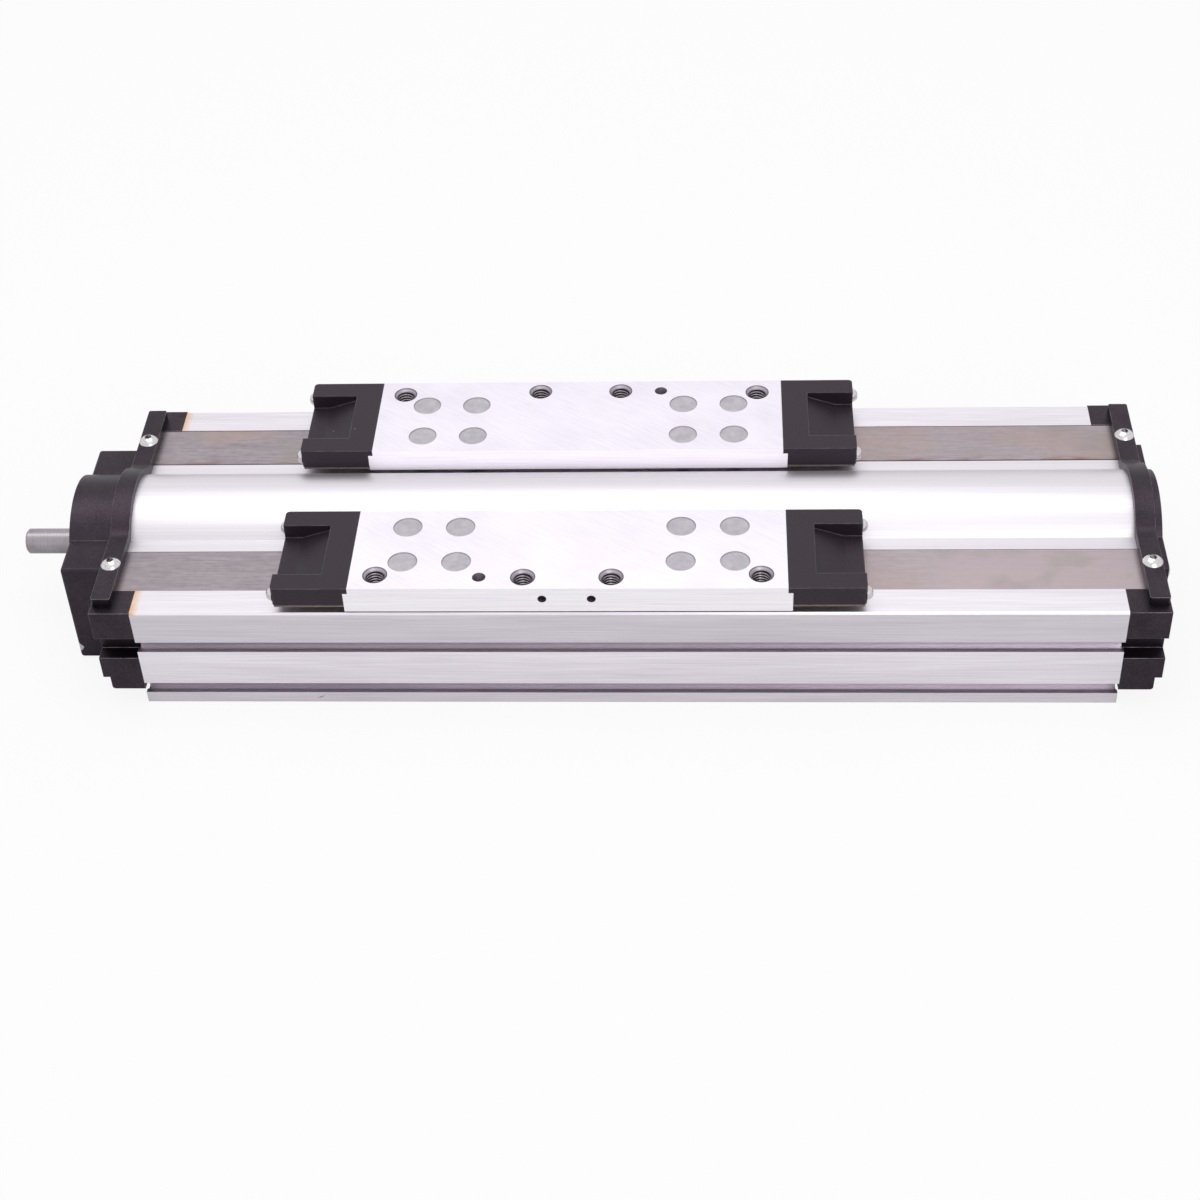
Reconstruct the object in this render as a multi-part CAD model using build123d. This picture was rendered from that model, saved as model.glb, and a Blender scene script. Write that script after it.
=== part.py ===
from build123d import *
from math import sqrt
import os

# Screw-driven linear stage. X runs along the travel with the drive shaft at -X,
# +Y points to the rear and +Z up. The origin is the centre of the base's underside.

# Base profile
BASE_LENGTH = 368.0
BASE_WIDTH = 125.0
BASE_HEIGHT = 46.0
BASE_CORNER = 1.2
LAND_WIDTH = 13.0          # outer land, from the side to the strip's ledge
LAND_CHAMFER = 0.7
LEDGE_WIDTH = 1.8          # ledge beside the land that carries the strip
LEDGE_THICKNESS = 3.3
CAVITY_WALL = 9.0          # side wall that holds the T-slots
RAIL_DEPTH = 26.0          # rail floor below the lands
SCREW_CHANNEL_MARGIN = 14.0  # from the rail's middle to the screw's channel
SCREW_CHANNEL_DEPTH = 19.5  # channel floor below the screw axis
CHAMBER_MARGIN = 9.7       # from the rail's middle to the closed chamber under it
CHAMBER_WALL = 11.5
CHAMBER_FLOOR = 4.5
RAIL_FLOOR_THICKNESS = 4.5
LOWER_SLOT_Z = 8.0
UPPER_SLOT_DEPTH = 17.0    # below the lands
SLOT_MOUTH = 4.8
SLOT_LIP = 2.0
SLOT_CHAMBER = 8.4
SLOT_DEPTH = 5.6

# Screw axis, arched cover and seal strips
SCREW_AXIS_DEPTH = 17.0    # below the lands
ARCH_RADIUS = 26.4
COVER_WALL = 2.0
COVER_LEDGE_WIDTH = 1.8    # ledge of the cover that carries the strip
STRIP_SIDE_GAP = 0.5       # between the strip and the cover's flange
STRIP_THICKNESS = 0.3
STRIP_WIDTH = 22.0
STRIP_SINK = 0.5           # depth of the ledges below the land
MAGNET_WIDTH = 1.2
MAGNET_THICKNESS = 0.8
STRIP_RISE = 9.4           # how far the strip is lifted inside the table

# Rails and runner blocks
RAIL_INSET = 11.3          # from the land's inner edge to the rail's middle
RAIL_WIDTH = 12.0
RAIL_HEIGHT = 8.0
RAIL_SETBACK = 4.0         # the rail ends this far inside the profile
RAIL_GROOVE = 1.0
GROOVE_HEIGHTS = (2.8, 4.0, 5.2, 6.4)  # corners of the ball groove above the rail floor
RAIL_HOLE_PITCH = 40.0
RAIL_SCREW_SEAT = 3.6
RUNNER_WIDTH = 27.0
RUNNER_HEIGHT = 10.0
RUNNER_CLEARANCE = 3.0
RUNNER_BODY_LENGTH = 32.4
RUNNER_END_LENGTH = 6.5
RUNNER_END_INSET = 0.4
RUNNER_HOLE_PITCH = 20.0
RUNNER_SPACING = 103.0
RUNNING_GAP = 0.3

# Carriage
CARRIAGE_REST_X = -20.0
TABLE_LENGTH = 161.2
TABLE_STEP = 1.8           # the table is longer than its top face by this at each end
TABLE_STEP_DROP = 2.4
TABLE_INNER = 18.6
TABLE_OVERHANG = 1.0       # past the side of the base
TABLE_GAP = 2.0            # above the lands
TABLE_THICKNESS = 11.0
TABLE_LIP_RISE = 1.6       # the inner edge clears the arched cover by this much more
TUNNEL_MARGIN = 0.9        # beside each edge of the strip
TUNNEL_HEIGHT = 1.5
LEG_CLEARANCE = 0.8
WING_CLEARANCE = 0.8       # below the cover's flange and the base's ledge
WING_SIDE_CLEARANCE = 2.0
WEB_THICKNESS = 5.2
WEB_CLEARANCE = 1.0
RUNNER_SCREW_GRIP = 5.0    # metal between the runner and the screw's head
PLUG_RADIUS = 5.5
PLUG_THICKNESS = 2.6
PLUG_SEAT = 0.2
M8_CORE_RADIUS = 3.4
M8_CHAMFER = 1.2
TABLE_HOLES_OUTER = (71.0, 7.9)  # from the carriage's middle, and from the table's edge
TABLE_HOLES_INNER = (16.2, 6.5)
DOWEL_HOLE = (32.4, 6.5)
DOWEL_RADIUS = 2.5
DOWEL_DEPTH = 8.0
SIDE_HOLE_X = 9.05
SIDE_HOLE_DROP = 5.0       # below the table's top
SIDE_HOLE_RADIUS = 1.65
SIDE_HOLE_DEPTH = 8.0

# Strip guides
GUIDE_END = 109.2          # distance of the guide's outer end from the carriage centre
GUIDE_RAISE = 2.9          # underside above the table's underside
GUIDE_RECESS_START = 91.0
GUIDE_RECESS_KNEE = 102.4
GUIDE_RECESS_WIDTH = 28.0
GUIDE_RECESS_SHALLOW = 2.2
GUIDE_RECESS_DEEP = 6.0
GUIDE_SCREW_INSET = 3.45   # from the guide's side
GUIDE_SCREW_DROP = 5.2     # below the table's top
GUIDE_SCREW_LENGTH = 32.0
GUIDE_ROUND = 1.6
WIPER_THICKNESS = 1.0
WIPER_INSET = 0.4
WIPER_SETBACK = 0.6
RAMP_START = 108.0
RAMP_END = 84.0
STRIP_AIR = 0.5

# End caps, clamps and bearing block
CAP_LENGTH = 15.4
CAP_PLATE = 2.6            # the outer slice of the cap, deeper stepped at the bottom
CAP_DROP = 21.5            # cap's bottom below the screw axis
CAP_PLATE_DROP = 15.4
CAP_NOTCH = (5.6, 4.3)     # below and above the middle of the upper T-slot
CAP_NOTCH_DEPTH = 6.0
CAP_ROUND = 1.2            # lower outer edge of a cap and of the block
CAP_SCREW_INSET = 5.0      # from the side of the base
CAP_SCREW_SPREAD = 10.5    # above and below the screw axis
CLAMP_START = 7.4          # distance of the clamp bar from the base profile's end
CLAMP_WIDTH = 7.4
CLAMP_INSET = 4.0          # the bar ends this far inside the base's side
CLAMP_THICKNESS = 3.7
CLAMP_ARCH_THICKNESS = 2.6
CLAMP_BLEND = 7.0
CLAMP_CORNER = 0.8
CLAMP_SEAT = 0.6           # the cover's end stops this far inside the clamp
BLOCK_LENGTH = 16.4
BLOCK_HALF_WIDTH = 37.6
BLOCK_BOTTOM = 0.5
BLOCK_CORNER = 1.6
BLOCK_SCREW = (31.5, 11.0, 10.5)  # |y|, then below and above the screw axis
MOTOR_HOLE = (22.0, 14.0)  # |y|, and height above and below the screw axis
MOTOR_HOLE_RADIUS = 2.1
MOTOR_HOLE_DEPTH = 12.0
COVER_PLATE = 2.4
COVER_PLATE_SCREW = (30.0, 11.0, 9.0)

# Ball screw and bearings
SCREW_RADIUS = 8.0
SHAFT_RADIUS = 5.0
SHAFT_END = 56.0           # distance of the shaft's tip from the base profile's end
SHAFT_CHAMFER = 0.8
JOURNAL_RADIUS = 6.0
DRIVE_BEARING_RADIUS = 16.0
DRIVE_BEARING_WIDTH = 10.0
DRIVE_BEARING_START = 3.4
BEARING_RACE = 2.6
RETAINER_RADIUS = 18.0
LOCK_NUT_RADIUS = 11.0
LOCK_NUT_LENGTH = 8.0
LOCK_NUT_SLOT = 3.0
IDLE_BEARING_RADIUS = 13.0
IDLE_BEARING_WIDTH = 8.0
IDLE_BEARING_START = 3.0
IDLE_JOURNAL_RADIUS = 5.0
CIRCLIP_THICKNESS = 1.0
CIRCLIP_GROOVE = 0.5
CIRCLIP_RIM = 1.6
CIRCLIP_OPENING = 3.0
SHAFT_TAIL = 1.0
SCREW_CLEARANCE = 1.0
NUT_RADIUS = 14.0
NUT_LENGTH = 42.0
NUT_BORE_GAP = 0.05
BRACKET_LENGTH = 34.0
BRACKET_DROP = 16.4        # flat underside below the screw axis
BRACKET_EAR_GAP = 0.7      # between the ear and the runner
BRACKET_EAR_THICKNESS = 6.0
BRACKET_SCREW_INSET = 3.0  # from the ear's edge
BRACKET_SCREW_X = 11.0
BUMPER_RADIUS = 4.0
BUMPER_LENGTH = 27.0

# Screws: shank radius, then radius and height of a socket head. A domed head gives
# its radius and height, the socket's depth and the width across its flats.
M3 = 1.5
M3_HEAD = 2.75
M3_HEAD_HEIGHT = 3.0
M3_PAN = (2.8, 2.4, 1.3, 2.0)
M4 = 2.0
M4_BUTTON = (3.8, 2.2, 1.3, 2.5)
M5 = 2.5
M5_HEAD = 4.25
M5_HEAD_HEIGHT = 5.0
RAIL_SCREW_LENGTH = 7.5
RUNNER_SCREW_LENGTH = 8.5
RUNNER_THREAD_DEPTH = 3.8
BRACKET_SCREW_REACH = 6.0
CAP_SCREW_GRIP = 12.0
CAP_COUNTERBORE = 5.2
BLOCK_SCREW_LENGTH = 20.0
BLOCK_THREAD_DEPTH = 10.0
BLOCK_COUNTERBORE = 5.4
COVER_SCREW_LENGTH = 9.6
COVER_THREAD_DEPTH = 8.0
CLAMP_SCREW_GRIP = 8.0
BUMPER_STUD = 5.8

# Fits
FIT = 0.05
BOLT_CLEARANCE = 0.2
PAST = 1.0                 # how far a cutting shape runs past the face it opens

half_width = BASE_WIDTH / 2
base_end = BASE_LENGTH / 2
cap_end = base_end + CAP_LENGTH
block_end = cap_end + BLOCK_LENGTH
block_seat = block_end - BLOCK_COUNTERBORE
drive_bearing_end = DRIVE_BEARING_START + 2 * DRIVE_BEARING_WIDTH

land_inner = half_width - LAND_WIDTH
ledge_inner = land_inner - LEDGE_WIDTH
cavity_half_width = half_width - CAVITY_WALL
strip_inner = land_inner - BOLT_CLEARANCE - STRIP_WIDTH
strip_middle = strip_inner + STRIP_WIDTH / 2
strip_level = BASE_HEIGHT - STRIP_SINK
ledge_bottom = strip_level - LEDGE_THICKNESS
cover_flange = strip_inner - STRIP_SIDE_GAP
cover_ledge = cover_flange + COVER_LEDGE_WIDTH
slot_heights = (LOWER_SLOT_Z, BASE_HEIGHT - UPPER_SLOT_DEPTH)

rail_y = land_inner - RAIL_INSET
rail_floor = BASE_HEIGHT - RAIL_DEPTH
rail_length = BASE_LENGTH - 2 * RAIL_SETBACK
rail_top = rail_floor + RAIL_HEIGHT
rail_seat = rail_floor + RAIL_SCREW_SEAT
runner_bottom = rail_floor + RUNNER_CLEARANCE
runner_top = runner_bottom + RUNNER_HEIGHT
runner_screw_seat = runner_top + RUNNER_SCREW_GRIP

screw_axis_z = BASE_HEIGHT - SCREW_AXIS_DEPTH
cover_inside = ARCH_RADIUS - COVER_WALL
web_radius = cover_inside - WEB_CLEARANCE
bracket_radius = web_radius - WEB_THICKNESS - 2 * FIT
bracket_ear = rail_y - RUNNER_WIDTH / 2 - BRACKET_EAR_GAP
bracket_screw_y = bracket_ear - BRACKET_SCREW_INSET
ear_bottom = runner_top - BRACKET_EAR_THICKNESS

table_end = TABLE_LENGTH / 2
table_outer = half_width + TABLE_OVERHANG
table_middle = (TABLE_INNER + table_outer) / 2
table_bottom = BASE_HEIGHT + TABLE_GAP
table_top = table_bottom + TABLE_THICKNESS
step_end = table_end + TABLE_STEP
step_top = table_top - TABLE_STEP_DROP
leg_inner = cover_ledge + LEG_CLEARANCE
leg_outer = ledge_inner - LEG_CLEARANCE
wing_top = BASE_HEIGHT - COVER_WALL - WING_CLEARANCE
wing_outer = cavity_half_width - WING_SIDE_CLEARANCE
wing_edge_top = ledge_bottom - WING_CLEARANCE
bumper_z = (runner_top + wing_edge_top) / 2
tunnel_inner = strip_inner - TUNNEL_MARGIN
tunnel_outer = strip_inner + STRIP_WIDTH + TUNNEL_MARGIN
tunnel_level = strip_level + STRIP_RISE
tunnel_floor = tunnel_level - (TUNNEL_HEIGHT - STRIP_THICKNESS) / 2
tunnel_roof = tunnel_floor + TUNNEL_HEIGHT
guide_bottom = table_bottom + GUIDE_RAISE
guide_screw_z = table_top - GUIDE_SCREW_DROP

cap_bottom = screw_axis_z - CAP_DROP
cap_plate_bottom = screw_axis_z - CAP_PLATE_DROP
clamp_end = CLAMP_START + CLAMP_WIDTH
clamp_middle = CLAMP_START + CLAMP_WIDTH / 2
clamp_half_length = half_width - CLAMP_INSET

os.makedirs("parts", exist_ok=True)


def save(name, *solids):
    """Write one node as STEP, as a single solid or a group of separate ones."""
    node = solids[0] if len(solids) == 1 else Compound(children=list(solids))
    export_step(node, f"parts/{name}.step")


def box(y_low, y_high, z_low, z_high):
    """Rectangle in a section across the travel, given by its edges."""
    middle = Pos((y_low + y_high) / 2, (z_low + z_high) / 2)
    return middle * Rectangle(y_high - y_low, z_high - z_low)


def both_sides(y_low, y_high, z_low, z_high):
    """The same rectangle at the front and at the rear."""
    return box(y_low, y_high, z_low, z_high) + box(-y_high, -y_low, z_low, z_high)


def along_x(section, x_low, x_high):
    """Extrude a section across the travel from one X to another."""
    return extrude(Plane.YZ.offset(x_low) * section, amount=x_high - x_low)


def rod(radius, x_low, x_high, y=0.0, z=screw_axis_z):
    """Round bar along X."""
    return along_x(Pos(y, z) * Circle(radius), x_low, x_high)


def ring(outer, inner, x_low, x_high):
    """Ring around the screw axis."""
    return rod(outer, x_low, x_high) - rod(inner, x_low, x_high)


def post(radius, x, y, z_low, z_high):
    """Round bar along Z."""
    return Pos(x, y, (z_low + z_high) / 2) * Cylinder(radius, z_high - z_low)


def screw_down(x, y, seat, length, head_radius, head_height, shank_radius):
    """Socket head screw that points down, with the head's underside at the seat."""
    head = post(head_radius, x, y, seat, seat + head_height)
    return head + post(shank_radius, x, y, seat - length, seat)


def screw_along(direction, x, y, z, length, head_radius, head_height, shank_radius):
    """Socket head screw along X whose head lies on the side that direction names."""
    tip = x - direction * length
    top = x + direction * head_height
    head = rod(head_radius, min(x, top), max(x, top), y, z)
    return head + rod(shank_radius, min(x, tip), max(x, tip), y, z)


def screw_dome(radius, height, socket, across_flats):
    """Domed screw head on the XY plane with a hexagon socket."""
    sphere_radius = (radius**2 + height**2) / (2 * height)
    ball = Pos(0, 0, height - sphere_radius) * Sphere(sphere_radius)
    head = ball & (Pos(0, 0, height / 2) * Cylinder(radius, height))
    hexagon = RegularPolygon(across_flats / sqrt(3), 6)
    return head - extrude(Pos(0, 0, height - socket) * hexagon, amount=socket)


def arch(outer, inner, z_low):
    """Part of a ring around the screw axis that lies above a level."""
    circle = Pos(0, screw_axis_z) * Circle(outer)
    if inner:
        circle -= Pos(0, screw_axis_z) * Circle(inner)
    return circle & box(-outer, outer, z_low, screw_axis_z + outer)


def rail_section(gap):
    """Rail with a ball groove in each flank, grown by a gap for the runner's slot."""
    half = RAIL_WIDTH / 2 + gap
    waist = half - RAIL_GROOVE
    groove = list(zip((half, waist, waist, half), GROOVE_HEIGHTS))
    flank = [(half, -gap), *groove, (half, RAIL_HEIGHT + gap)]
    other_flank = [(-y, z) for y, z in reversed(flank)]
    return make_face(Polyline(*flank, *other_flank, close=True))


def rail_hole_places():
    """Hole centres of both rails."""
    count = int(rail_length // RAIL_HOLE_PITCH)
    first = -RAIL_HOLE_PITCH * (count - 1) / 2
    for side in (-1, 1):
        for i in range(count):
            yield first + i * RAIL_HOLE_PITCH, side * rail_y


def cap_screw_places():
    """Y and Z of the screws that hold an end cap."""
    for side in (-1, 1):
        for z in (screw_axis_z - CAP_SCREW_SPREAD, screw_axis_z + CAP_SCREW_SPREAD):
            yield side * (half_width - CAP_SCREW_INSET), z


def runner_hole_places():
    """Centres of all runner screws, and so of the access holes above them."""
    for end in (-1, 1):
        for side in (-1, 1):
            for i in (-0.5, 0.5):
                for j in (-0.5, 0.5):
                    x = CARRIAGE_REST_X + end * RUNNER_SPACING / 2 + i * RUNNER_HOLE_PITCH
                    yield x, side * rail_y + j * RUNNER_HOLE_PITCH


def block_screw_places(y, below, above):
    """Four places, below and above the screw axis."""
    for side in (-1, 1):
        for z in (screw_axis_z - below, screw_axis_z + above):
            yield side * y, z


def guide_screw_places():
    """End and Y of each screw that holds a strip guide."""
    for end in (-1, 1):
        for side in (-1, 1):
            for y in (TABLE_INNER + GUIDE_SCREW_INSET, table_outer - GUIDE_SCREW_INSET):
                yield end, side * y


def bracket_screw_places():
    """Centres of the screws that hold the nut bracket."""
    for x in (-BRACKET_SCREW_X, BRACKET_SCREW_X):
        for y in (-bracket_screw_y, bracket_screw_y):
            yield CARRIAGE_REST_X + x, y


# Base profile: an open channel with two rail floors, a deeper channel for the screw,
# closed chambers under the rails and two T-slots in each side.
def make_base():
    half = half_width
    outline = Rectangle(BASE_WIDTH, BASE_HEIGHT)
    outline = fillet(outline.vertices().sort_by(Axis.Y)[:2], BASE_CORNER)
    outline = chamfer(outline.vertices().group_by(Axis.Y)[-1], LAND_CHAMFER)
    section = Pos(0, BASE_HEIGHT / 2) * outline
    section -= box(-land_inner, land_inner, strip_level, BASE_HEIGHT)
    section -= box(-ledge_inner, ledge_inner, ledge_bottom, strip_level)
    section -= box(-cavity_half_width, cavity_half_width, rail_floor, ledge_bottom)
    channel = rail_y - SCREW_CHANNEL_MARGIN
    section -= box(-channel, channel, screw_axis_z - SCREW_CHANNEL_DEPTH, rail_floor)
    chamber_top = rail_floor - RAIL_FLOOR_THICKNESS
    chamber_inner = rail_y - CHAMBER_MARGIN
    chamber_outer = half - CHAMBER_WALL
    section -= both_sides(chamber_inner, chamber_outer, CHAMBER_FLOOR, chamber_top)
    magnet_middle = land_inner - LEDGE_WIDTH / 2
    magnet_low = magnet_middle - MAGNET_WIDTH / 2
    magnet_high = magnet_middle + MAGNET_WIDTH / 2
    groove_floor = strip_level - MAGNET_THICKNESS
    section -= both_sides(magnet_low, magnet_high, groove_floor, strip_level)
    for z in slot_heights:
        mouth = SLOT_MOUTH / 2
        chamber = SLOT_CHAMBER / 2
        section -= both_sides(half - SLOT_LIP, half, z - mouth, z + mouth)
        section -= both_sides(half - SLOT_DEPTH, half - SLOT_LIP, z - chamber, z + chamber)
    profile = along_x(section, -base_end, base_end)
    for x, y in rail_hole_places():
        profile -= post(M3 + FIT, x, y, chamber_top, rail_floor)
    for end in (-1, 1):
        for y, z in cap_screw_places():
            tip = end * (base_end - CAP_SCREW_GRIP)
            low, high = sorted((end * base_end, tip))
            profile -= rod(M5 + FIT, low, high, y, z)
    return profile


save("base_extrusion", make_base())


# Centre cover: arched aluminium profile. Its flanges end in a ledge for the strips.
def make_cover():
    flange_bottom = BASE_HEIGHT - COVER_WALL
    foot = sqrt(cover_inside**2 - (flange_bottom - screw_axis_z) ** 2)
    section = arch(ARCH_RADIUS, cover_inside, flange_bottom)
    section += both_sides(foot, cover_flange, flange_bottom, BASE_HEIGHT)
    section += both_sides(cover_flange, cover_ledge, flange_bottom, strip_level)
    magnet_middle = (cover_flange + cover_ledge) / 2
    magnet_low = magnet_middle - MAGNET_WIDTH / 2
    magnet_high = magnet_middle + MAGNET_WIDTH / 2
    groove_floor = strip_level - MAGNET_THICKNESS
    section -= both_sides(magnet_low, magnet_high, groove_floor, strip_level)
    reach = base_end + clamp_end - BOLT_CLEARANCE - CLAMP_SEAT
    return along_x(section, -reach, reach)


save("centre_cover", make_cover())


# Magnetic strips, flush in the ledges of the base and of the cover.
def make_magnets():
    low = strip_level - MAGNET_THICKNESS
    width = MAGNET_WIDTH / 2 - FIT
    magnets = []
    for middle in (land_inner - LEDGE_WIDTH / 2, (cover_flange + cover_ledge) / 2):
        for side in (-1, 1):
            section = box(side * middle - width, side * middle + width, low, strip_level)
            magnets.append(along_x(section, -base_end, base_end))
    return magnets


save("strip_magnets", *make_magnets())


# Rails with counterbored holes, and their screws.
def make_rail(side):
    section = Pos(side * rail_y, rail_floor) * rail_section(0)
    rail = along_x(section, -rail_length / 2, rail_length / 2)
    seat = rail_seat
    for x, y in rail_hole_places():
        if y * side > 0:
            rail -= post(M3 + BOLT_CLEARANCE, x, y, rail_floor, seat)
            rail -= post(M3_HEAD + BOLT_CLEARANCE, x, y, seat, rail_top)
    return rail


save("front_rail", make_rail(-1))
save("rear_rail", make_rail(1))

rail_screws = [
    screw_down(x, y, rail_seat, RAIL_SCREW_LENGTH, M3_HEAD, M3_HEAD_HEIGHT, M3)
    for x, y in rail_hole_places()
]
save("rail_screws", *rail_screws)


# End caps: black blocks that close the base, carry the cover on a dome and hold the
# screw's bearings. Their outer slice is stepped, and a notch carries on the T-slot.
def make_end_cap(end):
    half = half_width
    saddle = BASE_HEIGHT - COVER_WALL
    notch_low = slot_heights[1] - CAP_NOTCH[0]
    notch_high = slot_heights[1] + CAP_NOTCH[1]
    notch = both_sides(half - CAP_NOTCH_DEPTH, half, notch_low, notch_high)
    inner = box(-half, half, cap_bottom, BASE_HEIGHT) - notch
    inner -= box(-land_inner, land_inner, strip_level, BASE_HEIGHT)
    seat = cover_ledge + FIT
    inner -= box(-seat, seat, saddle, strip_level)
    inner += arch(cover_inside - FIT, 0, saddle)
    outer = box(-half, half, cap_plate_bottom, BASE_HEIGHT) - notch
    if end < 0:
        outer += box(-BLOCK_HALF_WIDTH, BLOCK_HALF_WIDTH, cap_bottom, BASE_HEIGHT)
    outer += arch(ARCH_RADIUS, 0, screw_axis_z)
    plate_start = CAP_LENGTH - CAP_PLATE
    rim_start = clamp_end - CLAMP_SEAT
    lower = outer & box(-half, half, 0, strip_level)
    lower -= box(-seat, seat, saddle, strip_level)
    middle = lower + both_sides(land_inner, half, strip_level, BASE_HEIGHT)
    middle += arch(cover_inside - FIT, 0, saddle)
    cap = along_x(inner, base_end, base_end + plate_start)
    lower_edges = cap.edges().filter_by(Axis.Y).group_by(Axis.Z)[0]
    cap = fillet(lower_edges.sort_by(Axis.X)[-1], CAP_ROUND)
    cap += along_x(middle, base_end + plate_start, base_end + rim_start)
    cap += along_x(outer, base_end + rim_start, cap_end)
    if end < 0:
        bearing = DRIVE_BEARING_START
        cap -= rod(RETAINER_RADIUS + FIT, base_end, base_end + bearing)
        cap -= rod(DRIVE_BEARING_RADIUS + FIT, base_end + bearing, cap_end)
        cap = mirror(cap, Plane.YZ)
    else:
        bearing = base_end + IDLE_BEARING_START
        cap -= rod(SCREW_RADIUS + SCREW_CLEARANCE, base_end, bearing)
        cap -= rod(IDLE_BEARING_RADIUS + FIT, bearing, cap_end)
    for y, z in cap_screw_places():
        low, high = sorted((end * base_end, end * cap_end))
        cap -= rod(M5 + BOLT_CLEARANCE, low, high, y, z)
        seat_x = end * (cap_end - CAP_COUNTERBORE)
        low, high = sorted((seat_x, end * cap_end))
        cap -= rod(M5_HEAD + BOLT_CLEARANCE, low, high, y, z)
    for y in (-rail_y, rail_y):
        x = end * (base_end + clamp_middle)
        cap -= post(M4 + FIT, x, y, strip_level - CLAMP_SCREW_GRIP, strip_level)
    return cap


drive_end_cap = make_end_cap(-1)
idle_end_cap = make_end_cap(1)
for y, z in block_screw_places(*BLOCK_SCREW):
    drive_end_cap -= rod(M5 + FIT, -cap_end, BLOCK_THREAD_DEPTH - cap_end, y, z)
for y, z in block_screw_places(*COVER_PLATE_SCREW):
    idle_end_cap -= rod(M4 + FIT, cap_end - COVER_THREAD_DEPTH, cap_end, y, z)
stud_hole = base_end + BUMPER_STUD + BOLT_CLEARANCE
for y in (-rail_y, rail_y):
    drive_end_cap -= rod(M3 + FIT, -stud_hole, -base_end, y, bumper_z)
    idle_end_cap -= rod(M3 + FIT, base_end, stud_hole, y, bumper_z)
save("drive_end_cap", drive_end_cap)
save("idle_end_cap", idle_end_cap)

cap_seat = cap_end - CAP_COUNTERBORE
cap_screw_length = cap_seat - base_end + CAP_SCREW_GRIP
cap_screws = [
    screw_along(end, end * cap_seat, y, z, cap_screw_length, M5_HEAD, M5_HEAD_HEIGHT, M5)
    for end in (-1, 1)
    for y, z in cap_screw_places()
]
save("end_cap_screws", *cap_screws)


# Black block with an arched boss that carries the drive bearings and the motor.
def block_outline(bottom):
    outline = box(-BLOCK_HALF_WIDTH, BLOCK_HALF_WIDTH, bottom, BASE_HEIGHT)
    outline = fillet(outline.vertices(), BLOCK_CORNER)
    return outline + arch(ARCH_RADIUS, 0, screw_axis_z)


def make_bearing_block():
    block = along_x(block_outline(BLOCK_BOTTOM), -block_end, -cap_end)
    lower_edges = block.edges().filter_by(Axis.Y).group_by(Axis.Z)[0]
    block = fillet(lower_edges.sort_by(Axis.X)[0], CAP_ROUND)
    outer = base_end + drive_bearing_end
    block -= rod(DRIVE_BEARING_RADIUS + FIT, -outer, -cap_end)
    block -= rod(IDLE_BEARING_RADIUS, -block_end, -outer)
    for y, z in block_screw_places(*BLOCK_SCREW):
        block -= rod(M5 + BOLT_CLEARANCE, -block_end, -cap_end, y, z)
        block -= rod(M5_HEAD + BOLT_CLEARANCE, -block_end, -block_seat, y, z)
    for y in (-MOTOR_HOLE[0], MOTOR_HOLE[0]):
        for z in (screw_axis_z - MOTOR_HOLE[1], screw_axis_z + MOTOR_HOLE[1]):
            block -= rod(MOTOR_HOLE_RADIUS, -block_end, -block_end + MOTOR_HOLE_DEPTH, y, z)
    return block


save("drive_bearing_block", make_bearing_block())

block_screws = [
    screw_along(-1, -block_seat, y, z, BLOCK_SCREW_LENGTH, M5_HEAD, M5_HEAD_HEIGHT, M5)
    for y, z in block_screw_places(*BLOCK_SCREW)
]
save("bearing_block_screws", *block_screws)


# Thin plate with the same arched outline that closes the far bearing.
def make_bearing_cover():
    plate = along_x(block_outline(cap_plate_bottom), cap_end, cap_end + COVER_PLATE)
    for y, z in block_screw_places(*COVER_PLATE_SCREW):
        plate -= rod(M4 + BOLT_CLEARANCE, cap_end, cap_end + COVER_PLATE, y, z)
    return plate


save("bearing_cover", make_bearing_cover())

cover_plate_screws = []
for y, z in block_screw_places(*COVER_PLATE_SCREW):
    face = cap_end + COVER_PLATE
    dome = Pos(face, y, z) * Rot(0, 90, 0) * screw_dome(*M4_BUTTON)
    cover_plate_screws.append(dome + rod(M4, face - COVER_SCREW_LENGTH, face, y, z))
save("bearing_cover_screws", *cover_plate_screws)


# Clamp bars: hold the strips' ends and arch over the cover.
def make_clamp(end):
    top = BASE_HEIGHT + CLAMP_THICKNESS
    section = box(-clamp_half_length, clamp_half_length, BASE_HEIGHT, top)
    section += arch(ARCH_RADIUS + CLAMP_ARCH_THICKNESS, 0, BASE_HEIGHT)
    creases = section.vertices().filter_by(lambda v: abs(v.Y - top) < 0.01)
    creases = creases.filter_by(lambda v: abs(v.X) < cover_ledge)
    section = fillet(creases, CLAMP_BLEND)
    section -= Pos(0, screw_axis_z) * Circle(ARCH_RADIUS + FIT)
    x_low, x_high = sorted((end * (base_end + CLAMP_START), end * (base_end + clamp_end)))
    bar = along_x(section, x_low, x_high)
    corners = bar.edges().filter_by(Axis.Z)
    corners = corners.filter_by(lambda e: abs(e.center().Y) > clamp_half_length - 1)
    bar = fillet(corners, CLAMP_CORNER)
    for y in (-rail_y, rail_y):
        bar -= post(M4 + BOLT_CLEARANCE, (x_low + x_high) / 2, y, BASE_HEIGHT, top)
    return bar


save("drive_strip_clamp", make_clamp(-1))
save("idle_strip_clamp", make_clamp(1))

clamp_screws = []
for end in (-1, 1):
    for y in (-rail_y, rail_y):
        x = end * (base_end + clamp_middle)
        top = BASE_HEIGHT + CLAMP_THICKNESS
        dome = Pos(x, y, top) * screw_dome(*M4_BUTTON)
        clamp_screws.append(dome + post(M4, x, y, strip_level - CLAMP_SCREW_GRIP, top))
save("strip_clamp_screws", *clamp_screws)


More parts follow.
